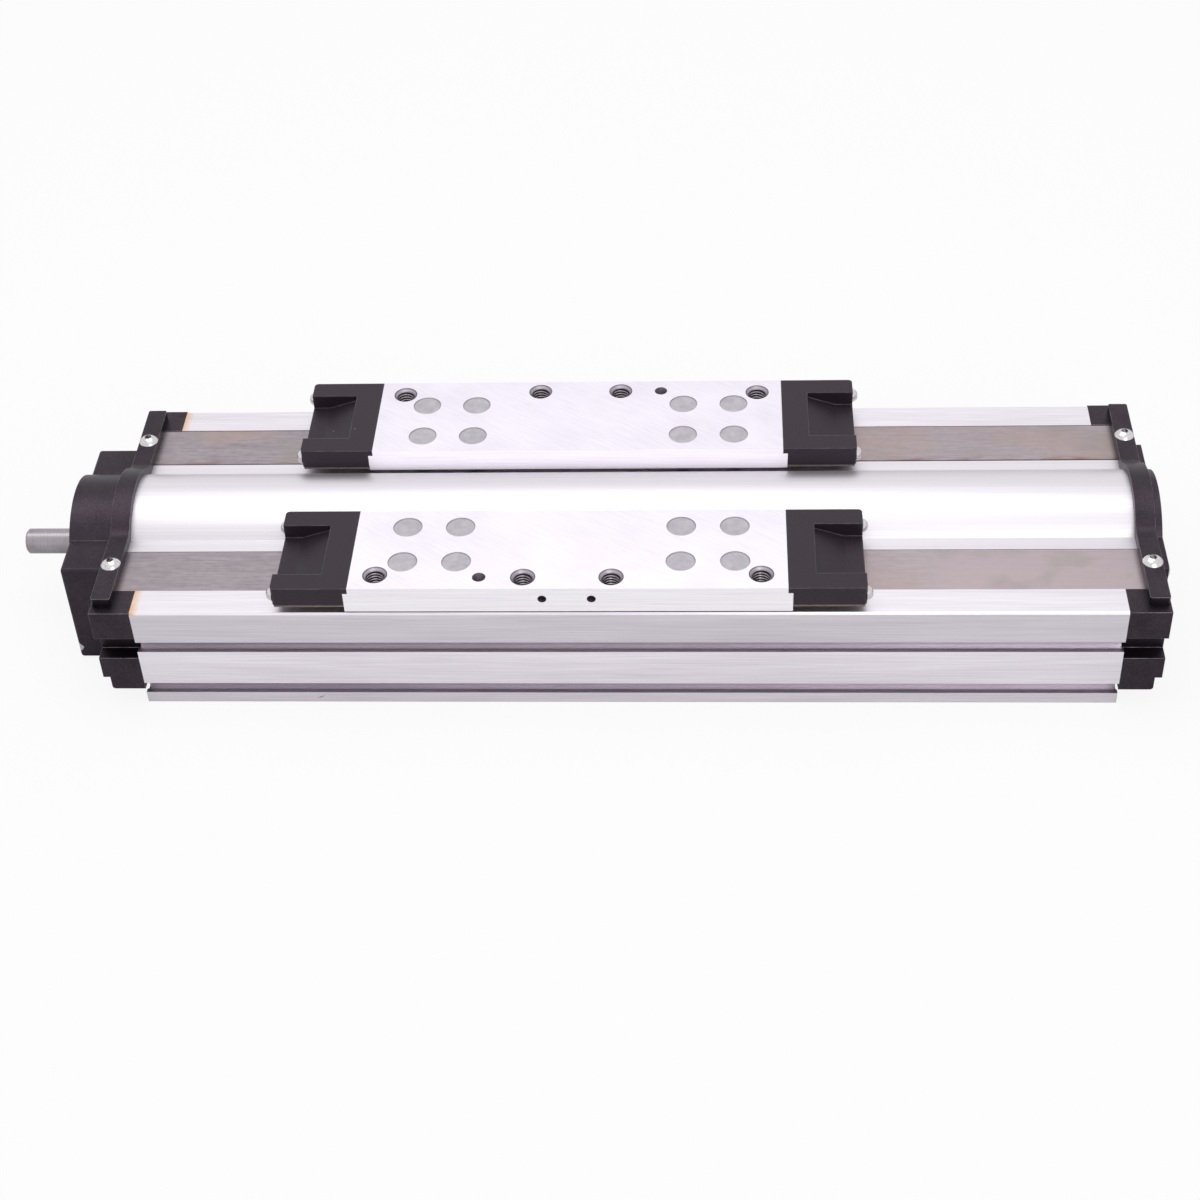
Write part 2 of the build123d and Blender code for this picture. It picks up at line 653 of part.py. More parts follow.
# Seal strips: flat on their ledges, rising in an S-curve through the guides and
# running level through the table.
def ramp(x_start, z_start, x_stop, z_stop):
    """S-curve between two levels, level at both ends."""
    return Spline((x_start, z_start), (x_stop, z_stop), tangents=((1, 0), (1, 0)))


def strip_path(level_shift):
    """Line of the strip in the XZ plane from one clamp to the other."""
    low = strip_level + level_shift
    high = tunnel_level + level_shift
    reach = base_end + clamp_end - CLAMP_SEAT - BOLT_CLEARANCE
    x0 = CARRIAGE_REST_X
    parts = [
        Line((-reach, low), (x0 - RAMP_START, low)),
        ramp(x0 - RAMP_START, low, x0 - RAMP_END, high),
        Line((x0 - RAMP_END, high), (x0 + RAMP_END, high)),
        ramp(x0 + RAMP_END, high, x0 + RAMP_START, low),
        Line((x0 + RAMP_START, low), (reach, low)),
    ]
    return parts


def make_strip(side):
    lower = strip_path(0)
    upper = strip_path(STRIP_THICKNESS)
    closing = [
        Line(lower[0] @ 0, upper[0] @ 0),
        Line(lower[-1] @ 1, upper[-1] @ 1),
    ]
    face = make_face(lower + upper + closing)
    middle = side * strip_middle
    strip = extrude(Plane.XZ.offset(-middle - STRIP_WIDTH / 2) * face, amount=STRIP_WIDTH)
    for end in (-1, 1):
        x = end * (base_end + clamp_middle)
        strip -= post(M4 + BOLT_CLEARANCE, x, side * rail_y, strip_level, BASE_HEIGHT)
    return strip


save("front_seal_strip", make_strip(-1))
save("rear_seal_strip", make_strip(1))


# Rubber stops on studs in the end caps, in line with the carriage's wings.
bumpers = []
for end in (-1, 1):
    for y in (-rail_y, rail_y):
        low, high = sorted((end * base_end, end * (base_end - BUMPER_LENGTH)))
        stud_low, stud_high = sorted((end * base_end, end * (base_end + BUMPER_STUD)))
        bumper = rod(BUMPER_RADIUS, low, high, y, bumper_z)
        bumpers.append(bumper + rod(M3, stud_low, stud_high, y, bumper_z))
save("end_bumpers", *bumpers)


# Ball screw, ground at both ends. The drive shaft leaves the block at -X.
def make_ball_screw():
    shoulder = base_end + DRIVE_BEARING_START
    nut_start = base_end + drive_bearing_end
    nut_end = nut_start + LOCK_NUT_LENGTH
    screw = rod(SCREW_RADIUS, -shoulder, base_end + IDLE_BEARING_START)
    screw += rod(JOURNAL_RADIUS, -nut_end, -shoulder)
    shaft = rod(SHAFT_RADIUS, -base_end - SHAFT_END, -nut_end)
    tip = shaft.faces().sort_by(Axis.X)[0].edges()
    screw += chamfer(tip, SHAFT_CHAMFER)
    groove_start = base_end + IDLE_BEARING_START + IDLE_BEARING_WIDTH
    groove_end = groove_start + CIRCLIP_THICKNESS
    screw += rod(IDLE_JOURNAL_RADIUS, base_end + IDLE_BEARING_START, groove_end + SHAFT_TAIL)
    groove_floor = IDLE_JOURNAL_RADIUS - CIRCLIP_GROOVE
    return screw - ring(IDLE_JOURNAL_RADIUS + PAST, groove_floor, groove_start, groove_end)


save("ball_screw", make_ball_screw())


# Bearings: a pair of angular contact bearings at the drive end and a single one at
# the far end, each with an outer ring in its housing and an inner ring on the screw.
def bearing_rings(outer, bore, x_low, x_high):
    """Outer and inner ring whose raceways leave a running gap between them."""
    middle = (outer + bore) / 2
    outer_ring = ring(outer, middle + RUNNING_GAP / 2, x_low, x_high)
    inner_ring = ring(middle - RUNNING_GAP / 2, bore + FIT, x_low, x_high)
    return outer_ring, inner_ring


drive_outer, drive_inner = [], []
for i in range(2):
    far = base_end + DRIVE_BEARING_START + (i + 1) * DRIVE_BEARING_WIDTH
    near = far - DRIVE_BEARING_WIDTH
    outer_ring, inner_ring = bearing_rings(DRIVE_BEARING_RADIUS, JOURNAL_RADIUS, -far, -near)
    drive_outer.append(outer_ring)
    drive_inner.append(inner_ring)
save("drive_bearing_outer_rings", *drive_outer)
save("drive_bearing_inner_rings", *drive_inner)

idle_near = base_end + IDLE_BEARING_START
idle_far = idle_near + IDLE_BEARING_WIDTH
idle_outer, idle_inner = bearing_rings(
    IDLE_BEARING_RADIUS, IDLE_JOURNAL_RADIUS, idle_near, idle_far
)
save("idle_bearing_outer_ring", idle_outer)
save("idle_bearing_inner_ring", idle_inner)

retainer_end = base_end + DRIVE_BEARING_START
retainer_bore = (DRIVE_BEARING_RADIUS + JOURNAL_RADIUS) / 2 + SCREW_CLEARANCE
save("bearing_retainer", ring(RETAINER_RADIUS, retainer_bore, -retainer_end, -base_end))

nut_low = -(base_end + drive_bearing_end + LOCK_NUT_LENGTH)
nut_high = -(base_end + drive_bearing_end)
lock_nut = ring(LOCK_NUT_RADIUS, JOURNAL_RADIUS + FIT, nut_low, nut_high)
for z in (-LOCK_NUT_RADIUS, LOCK_NUT_RADIUS):
    slot = Pos(nut_low, 0, screw_axis_z + z) * Box(LOCK_NUT_LENGTH, LOCK_NUT_SLOT, LOCK_NUT_SLOT)
    lock_nut -= slot
save("screw_lock_nut", lock_nut)

circlip = ring(
    IDLE_JOURNAL_RADIUS + CIRCLIP_RIM,
    IDLE_JOURNAL_RADIUS - CIRCLIP_GROOVE + FIT,
    idle_far,
    idle_far + CIRCLIP_THICKNESS,
)
opening = Box(3 * CIRCLIP_THICKNESS, CIRCLIP_OPENING, IDLE_JOURNAL_RADIUS)
circlip -= Pos(idle_far, 0, screw_axis_z + IDLE_JOURNAL_RADIUS) * opening
save("shaft_circlip", circlip)


# Carriage: one aluminium piece. Two table plates stand on legs that pass the seal
# openings, and an arched web under the cover joins their wings.
def table_section(side, top):
    """Section of one table plate with the strip's tunnel, up to a level."""
    lip = table_bottom + TABLE_LIP_RISE
    inner, outer = sorted((side * TABLE_INNER, side * table_outer))
    section = box(inner, outer, table_bottom, top)
    inner, outer = sorted((side * TABLE_INNER, side * cover_flange))
    section -= box(inner, outer, table_bottom, lip)
    inner, outer = sorted((side * tunnel_inner, side * tunnel_outer))
    return section - box(inner, outer, tunnel_floor, tunnel_roof)


def make_carriage():
    x0 = CARRIAGE_REST_X
    web_inner = web_radius - WEB_THICKNESS
    under = arch(web_radius, web_inner, runner_top)
    foot = sqrt(web_inner**2 - (runner_top - screw_axis_z) ** 2)
    under += both_sides(foot, wing_outer, runner_top, wing_edge_top)
    under += both_sides(foot, leg_outer, runner_top, wing_top)
    under -= Pos(0, screw_axis_z) * Circle(web_inner)
    under += both_sides(leg_inner, leg_outer, wing_top, table_bottom)
    body = along_x(under, x0 - table_end, x0 + table_end)
    for side in (-1, 1):
        body += along_x(table_section(side, step_top), x0 - step_end, x0 + step_end)
        body += along_x(table_section(side, table_top), x0 - table_end, x0 + table_end)
    for x, y in runner_hole_places():
        body -= post(M3 + BOLT_CLEARANCE, x, y, runner_top, runner_screw_seat)
        body -= post(M3_HEAD + 2 * BOLT_CLEARANCE, x, y, runner_screw_seat, tunnel_floor)
        body -= post(PLUG_RADIUS + FIT, x, y, tunnel_roof, table_top)
    for places in (TABLE_HOLES_OUTER, TABLE_HOLES_INNER):
        hole_y = table_outer - places[1]
        for x in (-places[0], places[0]):
            for y in (-hole_y, hole_y):
                body -= post(M8_CORE_RADIUS, x0 + x, y, table_bottom, table_top)
                sink = Cone(M8_CORE_RADIUS, M8_CORE_RADIUS + M8_CHAMFER, M8_CHAMFER)
                body -= Pos(x0 + x, y, table_top - M8_CHAMFER / 2) * sink
    for side in (-1, 1):
        x = x0 + side * DOWEL_HOLE[0]
        y = side * (table_outer - DOWEL_HOLE[1])
        body -= post(DOWEL_RADIUS, x, y, table_top - DOWEL_DEPTH, table_top)
        hole_y = SIDE_HOLE_DEPTH / 2 - table_outer
        hole = Pos(x0 + side * SIDE_HOLE_X, hole_y, table_top - SIDE_HOLE_DROP)
        body -= hole * Rot(90, 0, 0) * Cylinder(SIDE_HOLE_RADIUS, SIDE_HOLE_DEPTH)
    for end, y in guide_screw_places():
        tip = x0 + end * (GUIDE_END - GUIDE_SCREW_LENGTH - FIT)
        low, high = sorted((tip, x0 + end * step_end))
        body -= rod(M3 + FIT, low, high, y, guide_screw_z)
    for x, y in bracket_screw_places():
        top = runner_top + BRACKET_SCREW_REACH + BOLT_CLEARANCE
        body -= post(M3 + FIT, x, y, runner_top, top)
    return body


save("carriage", make_carriage())


# Runner blocks: a steel body with ball grooves around the rail and a plastic end
# piece on each side.
def runner_section(shrink):
    """Section of a runner, centred on its rail, with the slot that the rail fills."""
    half = RUNNER_WIDTH / 2 - shrink
    top = RUNNER_CLEARANCE + RUNNER_HEIGHT - shrink
    section = box(-half, half, RUNNER_CLEARANCE, top)
    return section - rail_section(RUNNING_GAP)


def make_runner(end, side):
    x = CARRIAGE_REST_X + end * RUNNER_SPACING / 2
    section = Pos(side * rail_y, rail_floor) * runner_section(0)
    runner = along_x(section, x - RUNNER_BODY_LENGTH / 2, x + RUNNER_BODY_LENGTH / 2)
    for hole_x, hole_y in runner_hole_places():
        if hole_y * side > 0 and abs(hole_x - x) < RUNNER_HOLE_PITCH:
            bottom = runner_top - RUNNER_THREAD_DEPTH
            runner -= post(M3 + FIT, hole_x, hole_y, bottom, runner_top)
    return runner


runner_ends = []
for end, end_name in ((-1, "left"), (1, "right")):
    for side, side_name in ((-1, "front"), (1, "rear")):
        save(f"runner_block_{side_name}_{end_name}", make_runner(end, side))
        x = CARRIAGE_REST_X + end * RUNNER_SPACING / 2
        section = Pos(side * rail_y, rail_floor) * runner_section(RUNNER_END_INSET)
        near = RUNNER_BODY_LENGTH / 2
        far = near + RUNNER_END_LENGTH
        runner_ends.append(along_x(section, x + near, x + far))
        runner_ends.append(along_x(section, x - far, x - near))
save("runner_end_pieces", *runner_ends)

runner_screws = [
    screw_down(x, y, runner_screw_seat, RUNNER_SCREW_LENGTH, M3_HEAD, M3_HEAD_HEIGHT, M3)
    for x, y in runner_hole_places()
]
save("runner_screws", *runner_screws)

plug_top = tunnel_roof + PLUG_SEAT + PLUG_THICKNESS
access_plugs = [
    post(PLUG_RADIUS, x, y, plug_top - PLUG_THICKNESS, plug_top) for x, y in runner_hole_places()
]
save("access_plugs", *access_plugs)


# Ball nut, screwed into a bracket that hangs under the carriage's web.
def make_nut_bracket():
    x0 = CARRIAGE_REST_X
    section = Pos(0, screw_axis_z) * Circle(bracket_radius)
    bottom = screw_axis_z - BRACKET_DROP
    section &= box(-bracket_radius, bracket_radius, bottom, screw_axis_z + ARCH_RADIUS)
    section += box(-bracket_ear, bracket_ear, ear_bottom, runner_top)
    section -= Pos(0, screw_axis_z) * Circle(NUT_RADIUS + NUT_BORE_GAP)
    bracket = along_x(section, x0 - BRACKET_LENGTH / 2, x0 + BRACKET_LENGTH / 2)
    for x, y in bracket_screw_places():
        bracket -= post(M3 + BOLT_CLEARANCE, x, y, ear_bottom, runner_top)
    return bracket


save("nut_bracket", make_nut_bracket())

nut_start = CARRIAGE_REST_X - BRACKET_LENGTH / 2
ball_nut = ring(NUT_RADIUS, SCREW_RADIUS + FIT, nut_start, nut_start + NUT_LENGTH)
save("ball_nut", ball_nut)

bracket_screws = [
    post(M3, x, y, ear_bottom, runner_top + BRACKET_SCREW_REACH)
    + post(M3_HEAD, x, y, ear_bottom - M3_HEAD_HEIGHT, ear_bottom)
    for x, y in bracket_screw_places()
]
save("nut_bracket_screws", *bracket_screws)


# Strip guides: black mouldings that lead a strip up into the table. The top has a
# recess that ramps down outwards, and the underside follows the strip.
def place_guide(solid, end, side):
    """Move a solid built for the rear right guide to one of the four ends."""
    if end < 0:
        solid = mirror(solid, Plane.YZ)
    if side < 0:
        solid = mirror(solid, Plane.XZ)
    return Pos(CARRIAGE_REST_X, 0, 0) * solid


def make_guide(end, side):
    body_start = step_end
    lip_start = table_end
    y_low = TABLE_INNER
    y_high = table_outer
    body = along_x(box(y_low, y_high, guide_bottom, table_top), body_start, GUIDE_END)
    corners = body.edges().filter_by(Axis.Z).group_by(Axis.X)[-1]
    body = fillet(corners, GUIDE_ROUND)
    body += along_x(box(y_low, y_high, step_top, table_top), lip_start, body_start)
    shallow = table_top - GUIDE_RECESS_SHALLOW
    deep = table_top - GUIDE_RECESS_DEEP
    recess = Polyline(
        (GUIDE_RECESS_START, table_top + PAST),
        (GUIDE_RECESS_START, shallow),
        (GUIDE_RECESS_KNEE, deep),
        (GUIDE_END + PAST, deep),
        (GUIDE_END + PAST, table_top + PAST),
        close=True,
    )
    recess_end = table_middle + GUIDE_RECESS_WIDTH / 2
    plane = Plane.XZ.offset(-recess_end)
    body -= extrude(plane * make_face(recess), amount=GUIDE_RECESS_WIDTH)
    air_low = strip_level + STRIP_THICKNESS + STRIP_AIR
    air_high = tunnel_roof
    tunnel_start = lip_start - PAST
    tunnel_bottom = air_low - PAST
    tunnel = [
        Line((tunnel_start, tunnel_bottom), (tunnel_start, air_high)),
        Line((tunnel_start, air_high), (RAMP_END, air_high)),
        ramp(RAMP_END, air_high, RAMP_START, air_low),
        Line((RAMP_START, air_low), (RAMP_START, tunnel_bottom)),
        Line((RAMP_START, tunnel_bottom), (tunnel_start, tunnel_bottom)),
    ]
    plane = Plane.XZ.offset(-tunnel_outer)
    body -= extrude(plane * make_face(tunnel), amount=tunnel_outer - tunnel_inner)
    for y in (y_low + GUIDE_SCREW_INSET, y_high - GUIDE_SCREW_INSET):
        body -= rod(M3 + BOLT_CLEARANCE, lip_start, GUIDE_END, y, guide_screw_z)
    return place_guide(body, end, side)


# Wipers: thin brown plates under each guide's rims.
def make_wipers(end, side):
    low = guide_bottom - WIPER_THICKNESS
    rims = []
    for y_low, y_high in ((TABLE_INNER, tunnel_inner), (tunnel_outer, table_outer)):
        section = box(y_low + WIPER_INSET, y_high - WIPER_INSET, low, guide_bottom)
        rim = along_x(section, step_end, GUIDE_END - WIPER_SETBACK)
        rims.append(place_guide(rim, end, side))
    return rims


wipers = []
for end, end_name in ((-1, "left"), (1, "right")):
    for side, side_name in ((-1, "front"), (1, "rear")):
        save(f"strip_guide_{side_name}_{end_name}", make_guide(end, side))
        wipers += make_wipers(end, side)
save("guide_wipers", *wipers)

guide_screws = []
for end, y in guide_screw_places():
    face = CARRIAGE_REST_X + end * GUIDE_END
    low, high = sorted((face, face - end * GUIDE_SCREW_LENGTH))
    dome = Pos(face, y, guide_screw_z) * Rot(0, 90 * end, 0) * screw_dome(*M3_PAN)
    guide_screws.append(dome + rod(M3, low, high, y, guide_screw_z))
save("guide_screws", *guide_screws)
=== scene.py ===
from math import pi, radians, sqrt

import bpy
from mathutils import Matrix, Vector


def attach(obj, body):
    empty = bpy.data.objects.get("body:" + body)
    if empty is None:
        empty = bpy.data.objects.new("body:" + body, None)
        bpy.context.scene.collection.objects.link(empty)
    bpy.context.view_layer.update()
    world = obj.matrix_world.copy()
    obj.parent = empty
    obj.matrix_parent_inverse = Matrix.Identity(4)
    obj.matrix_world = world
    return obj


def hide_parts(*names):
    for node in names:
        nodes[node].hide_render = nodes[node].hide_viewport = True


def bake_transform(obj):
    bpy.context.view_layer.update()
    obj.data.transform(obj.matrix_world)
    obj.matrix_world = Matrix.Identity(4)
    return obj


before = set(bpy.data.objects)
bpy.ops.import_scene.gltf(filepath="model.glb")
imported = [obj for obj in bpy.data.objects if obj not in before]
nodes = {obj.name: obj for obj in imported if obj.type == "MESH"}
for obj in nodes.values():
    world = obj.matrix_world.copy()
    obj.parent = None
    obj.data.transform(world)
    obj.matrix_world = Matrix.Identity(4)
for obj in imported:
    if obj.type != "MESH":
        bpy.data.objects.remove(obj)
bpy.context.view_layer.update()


# Base: one aluminium profile, extruded with T-slots and clear anodised. The die leaves
# long faint lines along the travel, and each face of the side gets painted light, its own
# brightness.

PROFILE_HALF_LENGTH = 0.184
HEIGHT_UNIT = 0.050
SLOT_SHADE_REACH = (0.0622, 0.0612)  # painted shade inside the slots sets in between these distances
SLOTS_TOP = 0.040
LAND_LEVEL = 0.045
STAIN_LENGTH = 0.0032
STAIN_SCALE = 260.0
STAIN_STRENGTH = 1.7
SCRATCH_PLACE = (-0.1165, -0.0625, 0.0032)
SCRATCH_HALF_SIZE = (0.002, 0.002, 0.0004)
SCRATCH_TILT = radians(-25)
TINTING = {"data_type": "RGBA", "blend_type": "MULTIPLY"}


def linear_colour(hex_colour):
    """Turn an sRGB hex colour into linear red, green, blue and alpha."""
    channels = [int(hex_colour[start : start + 2], 16) / 255 for start in (1, 3, 5)]
    return [c / 12.92 if c <= 0.04045 else ((c + 0.055) / 1.055) ** 2.4 for c in channels] + [1.0]


def add_node(owner, kind, inputs=None, out=None, stops=(), **settings):
    """Add a shader node, set it and its ramp, and fill or link its inputs.

    Return its first output in use, the one that out names, or a list of those it names.
    """
    node = owner.node_tree.nodes.new("ShaderNode" + kind)
    for field, value in settings.items():
        setattr(node, field, value)
    for index, (position, hex_colour) in enumerate(stops):
        ramp = node.color_ramp.elements
        stop = ramp[index] if index < 2 else ramp.new(position)
        stop.position = position
        stop.color = linear_colour(hex_colour)
    for socket, value in (inputs or {}).items():
        if isinstance(value, bpy.types.NodeSocket):
            owner.node_tree.links.new(value, node.inputs[socket])
        elif isinstance(value, str):
            node.inputs[socket].default_value = linear_colour(value)
        else:
            node.inputs[socket].default_value = value
    if isinstance(out, tuple):
        return [node.outputs[name] for name in out]
    return node.outputs[out] if out else next((o for o in node.outputs if o.enabled), None)


def start_material(name):
    """Make an empty material and return it with its Object coordinates."""
    material = bpy.data.materials.new(name)
    material.use_nodes = True
    material.node_tree.nodes.clear()
    return material, add_node(material, "TexCoord", out="Object")


def close_material(material, colour, look):
    """Shade a material in a colour, with the shader's other inputs in look."""
    shader = add_node(material, "BsdfPrincipled", {"Base Color": colour, **look})
    add_node(material, "OutputMaterial", {"Surface": shader})


def dress(material, *names):
    """Give CAD nodes a material."""
    for name in names:
        for slot in nodes[name].material_slots:
            slot.material = material


# Extruded and anodised: satin metal with a faint lilac cast. Die lines are 0.1 mm wide,
# drawn 0.4 mm wide and 30 mm long so that they show, over soft bands of 4 mm.
profile, place = start_material("anodised_aluminium_extruded")
line_place = add_node(profile, "Mapping", {"Vector": place, "Scale": (33, 2500, 2500)})
lines = add_node(profile, "TexNoise", {"Vector": line_place, "Scale": 1.0, "Detail": 2.0})
band_place = add_node(profile, "Mapping", {"Vector": place, "Scale": (12, 250, 250)})
bands = add_node(profile, "TexNoise", {"Vector": band_place, "Scale": 1.0, "Detail": 3.0})
streaks = add_node(profile, "Mix", {"Factor": 0.4, "A": lines, "B": bands})
drawn = add_node(profile, "ValToRGB", {"Fac": streaks}, stops=((0.3, "#E2DBE4"), (0.7, "#FCF7FE")))
along, across, up = add_node(profile, "SeparateXYZ", {"Vector": place}, out=("X", "Y", "Z"))
# Painted light by height, in units of 50 mm: each band of the side gets its own brightness.
# From below: the lip, the band between the slots, the band above them, the lands.
height = add_node(profile, "Math", {0: up, 1: 1 / HEIGHT_UNIT}, operation="MULTIPLY")
face_light_stops = (
    (0.155, "#F2F2F2"),
    (0.165, "#FFFFFF"),
    (0.575, "#FFFFFF"),
    (0.585, "#E3E3E3"),
    (0.895, "#E3E3E3"),
    (0.908, "#F2F2F2"),
)
painted_face_light = add_node(profile, "ValToRGB", {"Fac": height}, stops=face_light_stops)
# Painted shade inside the slots: they come out a duller grey.
from_middle = add_node(profile, "Math", {0: across}, operation="ABSOLUTE")
slot_shade_range = {"From Min": SLOT_SHADE_REACH[0], "From Max": SLOT_SHADE_REACH[1]}
inside = add_node(profile, "MapRange", {"Value": from_middle, **slot_shade_range})
below_land = add_node(profile, "Math", {0: up, 1: SLOTS_TOP}, operation="LESS_THAN")
slot_shade_mask = add_node(profile, "Math", {0: inside, 1: below_land}, operation="MULTIPLY")
painted_face_and_slot_shade = add_node(profile, "Mix", {"Factor": slot_shade_mask, "A": painted_face_light, "B": "#E2DFE1"}, data_type="RGBA")
# The die lines' tint times the painted light of the faces and the painted shade in the slots.
metal = add_node(profile, "Mix", {"Factor": 1.0, "A": drawn, "B": painted_face_and_slot_shade}, **TINTING)
# Dried oil on the lands, brown beside the drive end's cap.
near_cap = add_node(
    profile,
    "MapRange",
    {
        "Value": along,
        "From Min": -PROFILE_HALF_LENGTH,
        "From Max": STAIN_LENGTH - PROFILE_HALF_LENGTH,
        "To Min": 1.0,
        "To Max": 0.0,
    },
)
on_land = add_node(profile, "Math", {0: up, 1: LAND_LEVEL}, operation="GREATER_THAN")
uneven = add_node(profile, "TexNoise", {"Vector": place, "Scale": STAIN_SCALE, "Detail": 3.0})
stain = add_node(profile, "Math", {0: near_cap, 1: on_land}, operation="MULTIPLY")
stain = add_node(profile, "Math", {0: stain, 1: uneven}, operation="MULTIPLY")
stain = add_node(
    profile, "Math", {0: stain, 1: STAIN_STRENGTH}, operation="MULTIPLY", use_clamp=True
)
stained = add_node(profile, "Mix", {"Factor": stain, "A": metal, "B": "#DDB07C"}, data_type="RGBA")
# One short scratch on the lip, 4 mm long and 0.8 mm wide.
scratch_frame = {
    "Location": SCRATCH_PLACE,
    "Rotation": (0, SCRATCH_TILT, 0),
    "Scale": SCRATCH_HALF_SIZE,
}
scratch_place = add_node(
    profile, "Mapping", {"Vector": place, **scratch_frame}, vector_type="TEXTURE"
)
reach = add_node(profile, "VectorMath", {0: scratch_place}, operation="LENGTH")
scratch = add_node(profile, "MapRange", {"Value": reach, "To Min": 0.9, "To Max": 0.0})
scored = add_node(
    profile, "Mix", {"Factor": scratch, "A": stained, "B": "#6E686F"}, data_type="RGBA"
)
relief = add_node(profile, "Bump", {"Height": streaks, "Strength": 0.08, "Distance": 0.0002})
close_material(profile, scored, {"Metallic": 1.0, "Roughness": 0.36, "Normal": relief})
dress(profile, "base_extrusion")


# Rails: hardened bearing steel, profiled and ground, screwed to the base's floor from
# above. They hide under the strips, and so do their black oxide cap screws.


def make_speckled(name, scale, detail, colours, look):
    """Make a material whose colour wanders between two shades in fine specks."""
    material, place = start_material(name)
    specks = add_node(material, "TexNoise", {"Vector": place, "Scale": scale, "Detail": detail})
    stops = tuple(zip((0.3, 0.7), colours))
    close_material(material, add_node(material, "ValToRGB", {"Fac": specks}, stops=stops), look)
    return material


# Ground: bright and smooth. The lines along the travel are finer than 0.1 mm, and drawn
# 0.4 mm wide.
ground, place = start_material("bearing_steel_ground")
grind_place = add_node(ground, "Mapping", {"Vector": place, "Scale": (30, 2500, 2500)})
grinding = add_node(ground, "TexNoise", {"Vector": grind_place, "Scale": 1.0, "Detail": 2.0})
tint = add_node(ground, "ValToRGB", {"Fac": grinding}, stops=((0.3, "#A8A3A6"), (0.7, "#C9C5C8")))
relief = add_node(ground, "Bump", {"Height": grinding, "Strength": 0.1, "Distance": 0.0001})
close_material(ground, tint, {"Metallic": 1.0, "Roughness": 0.24, "Normal": relief})
dress(ground, "front_rail", "rear_rail")

# Black oxide: a thin dark skin that lets some of the steel's sheen through, with spots
# of 1 mm.
oxide = make_speckled(
    "steel_black_oxide",
    scale=900.0,
    detail=2.0,
    colours=("#1D1B1C", "#38353A"),
    look={"Metallic": 0.9, "Roughness": 0.45},
)
dress(oxide, "rail_screws", "runner_screws", "nut_bracket_screws")


# Runner blocks: ground steel bodies on the rails, with nylon end pieces that return
# the balls.

CORNERS = [f"{side}_{end}" for side in ("front", "rear") for end in ("left", "right")]

dress(ground, *(f"runner_block_{corner}" for corner in CORNERS))


# Ball screw with its nut and bearings: bearing steel. Only the drive shaft's end
# shows, turned, with fine rings and a dull grey skin. A black lock nut and a circlip
# hold the bearings, which a black retainer ring closes in.

# Turned: rings 0.1 mm apart, drawn 0.4 mm apart, under dull clouds of 5 mm from hands.
turned, place = start_material("bearing_steel_turned")
ring_place = add_node(turned, "Mapping", {"Vector": place, "Scale": (2500, 30, 30)})
rings = add_node(turned, "TexNoise", {"Vector": ring_place, "Scale": 1.0, "Detail": 2.0})
handled = add_node(turned, "TexNoise", {"Vector": place, "Scale": 180.0, "Detail": 4.0})
skin = add_node(turned, "Mix", {"Factor": 0.5, "A": rings, "B": handled})
tint = add_node(turned, "ValToRGB", {"Fac": skin}, stops=((0.3, "#8B848A"), (0.7, "#ADA6AC")))
relief = add_node(turned, "Bump", {"Height": rings, "Strength": 0.06, "Distance": 0.0001})
close_material(turned, tint, {"Metallic": 1.0, "Roughness": 0.3, "Normal": relief})
dress(turned, "ball_screw", "ball_nut", "drive_bearing_outer_rings", "drive_bearing_inner_rings")
dress(turned, "idle_bearing_outer_ring", "idle_bearing_inner_ring")
dress(oxide, "screw_lock_nut", "shaft_circlip", "bearing_retainer")


# End caps, bearing block, cover plate and strip clamps: milled aluminium, anodised
# black. Satin, with fine specks and a faint plum cast; the edges carry a painted grey highlight.

CHIP_PLACE = (-0.2158, -0.0376, 0.0062)
CHIP_REACH = 0.0031
CHIP_RAGGEDNESS = 0.0022


def find_edge_highlight(material, place, radius, scale, patches):
    """Return the normal rounded at the edges, and a painted highlight along them.

    The painted highlight follows the edges, where the rounded normal leaves the flat one. It
    begins where they part by 10 degrees, and is full at 30, broken up by noise.
    """
    rounded = add_node(material, "Bevel", {"Radius": radius}, samples=6)
    flat = add_node(material, "NewGeometry", out="Normal")
    agree = add_node(material, "VectorMath", {0: rounded, 1: flat}, operation="DOT_PRODUCT")
    edge = add_node(material, "MapRange", {"Value": agree, "From Min": 0.985, "From Max": 0.86})
    highlight_breakup = add_node(material, "TexNoise", {"Vector": place, "Scale": scale, "Detail": 3.0})
    highlight_breakup = add_node(material, "MapRange", {"Value": highlight_breakup, **patches})
    return rounded, add_node(material, "Math", {0: edge, 1: highlight_breakup}, operation="MULTIPLY")


# Black anodised: specks of 0.1 mm, drawn 0.7 mm wide, over clouds of 14 mm in the dye.
black, place = start_material("anodised_aluminium_black")
specks = add_node(black, "TexNoise", {"Vector": place, "Scale": 1400.0, "Detail": 3.0})
clouds = add_node(black, "TexNoise", {"Vector": place, "Scale": 70.0, "Detail": 4.0})
grain = add_node(black, "Mix", {"Factor": 0.45, "A": specks, "B": clouds})
dye = add_node(black, "ValToRGB", {"Fac": grain}, stops=((0.35, "#352E35"), (0.68, "#463E46")))
patches = {"From Min": 0.35, "From Max": 0.68, "To Min": 0.25}
# Painted highlight: a lighter grey along the edges, broken up by noise.
rounded, edge_highlight = find_edge_highlight(black, place, radius=0.0004, scale=320.0, patches=patches)
edge_lit = add_node(black, "Mix", {"Factor": edge_highlight, "A": dye, "B": "#9B929C"}, data_type="RGBA")
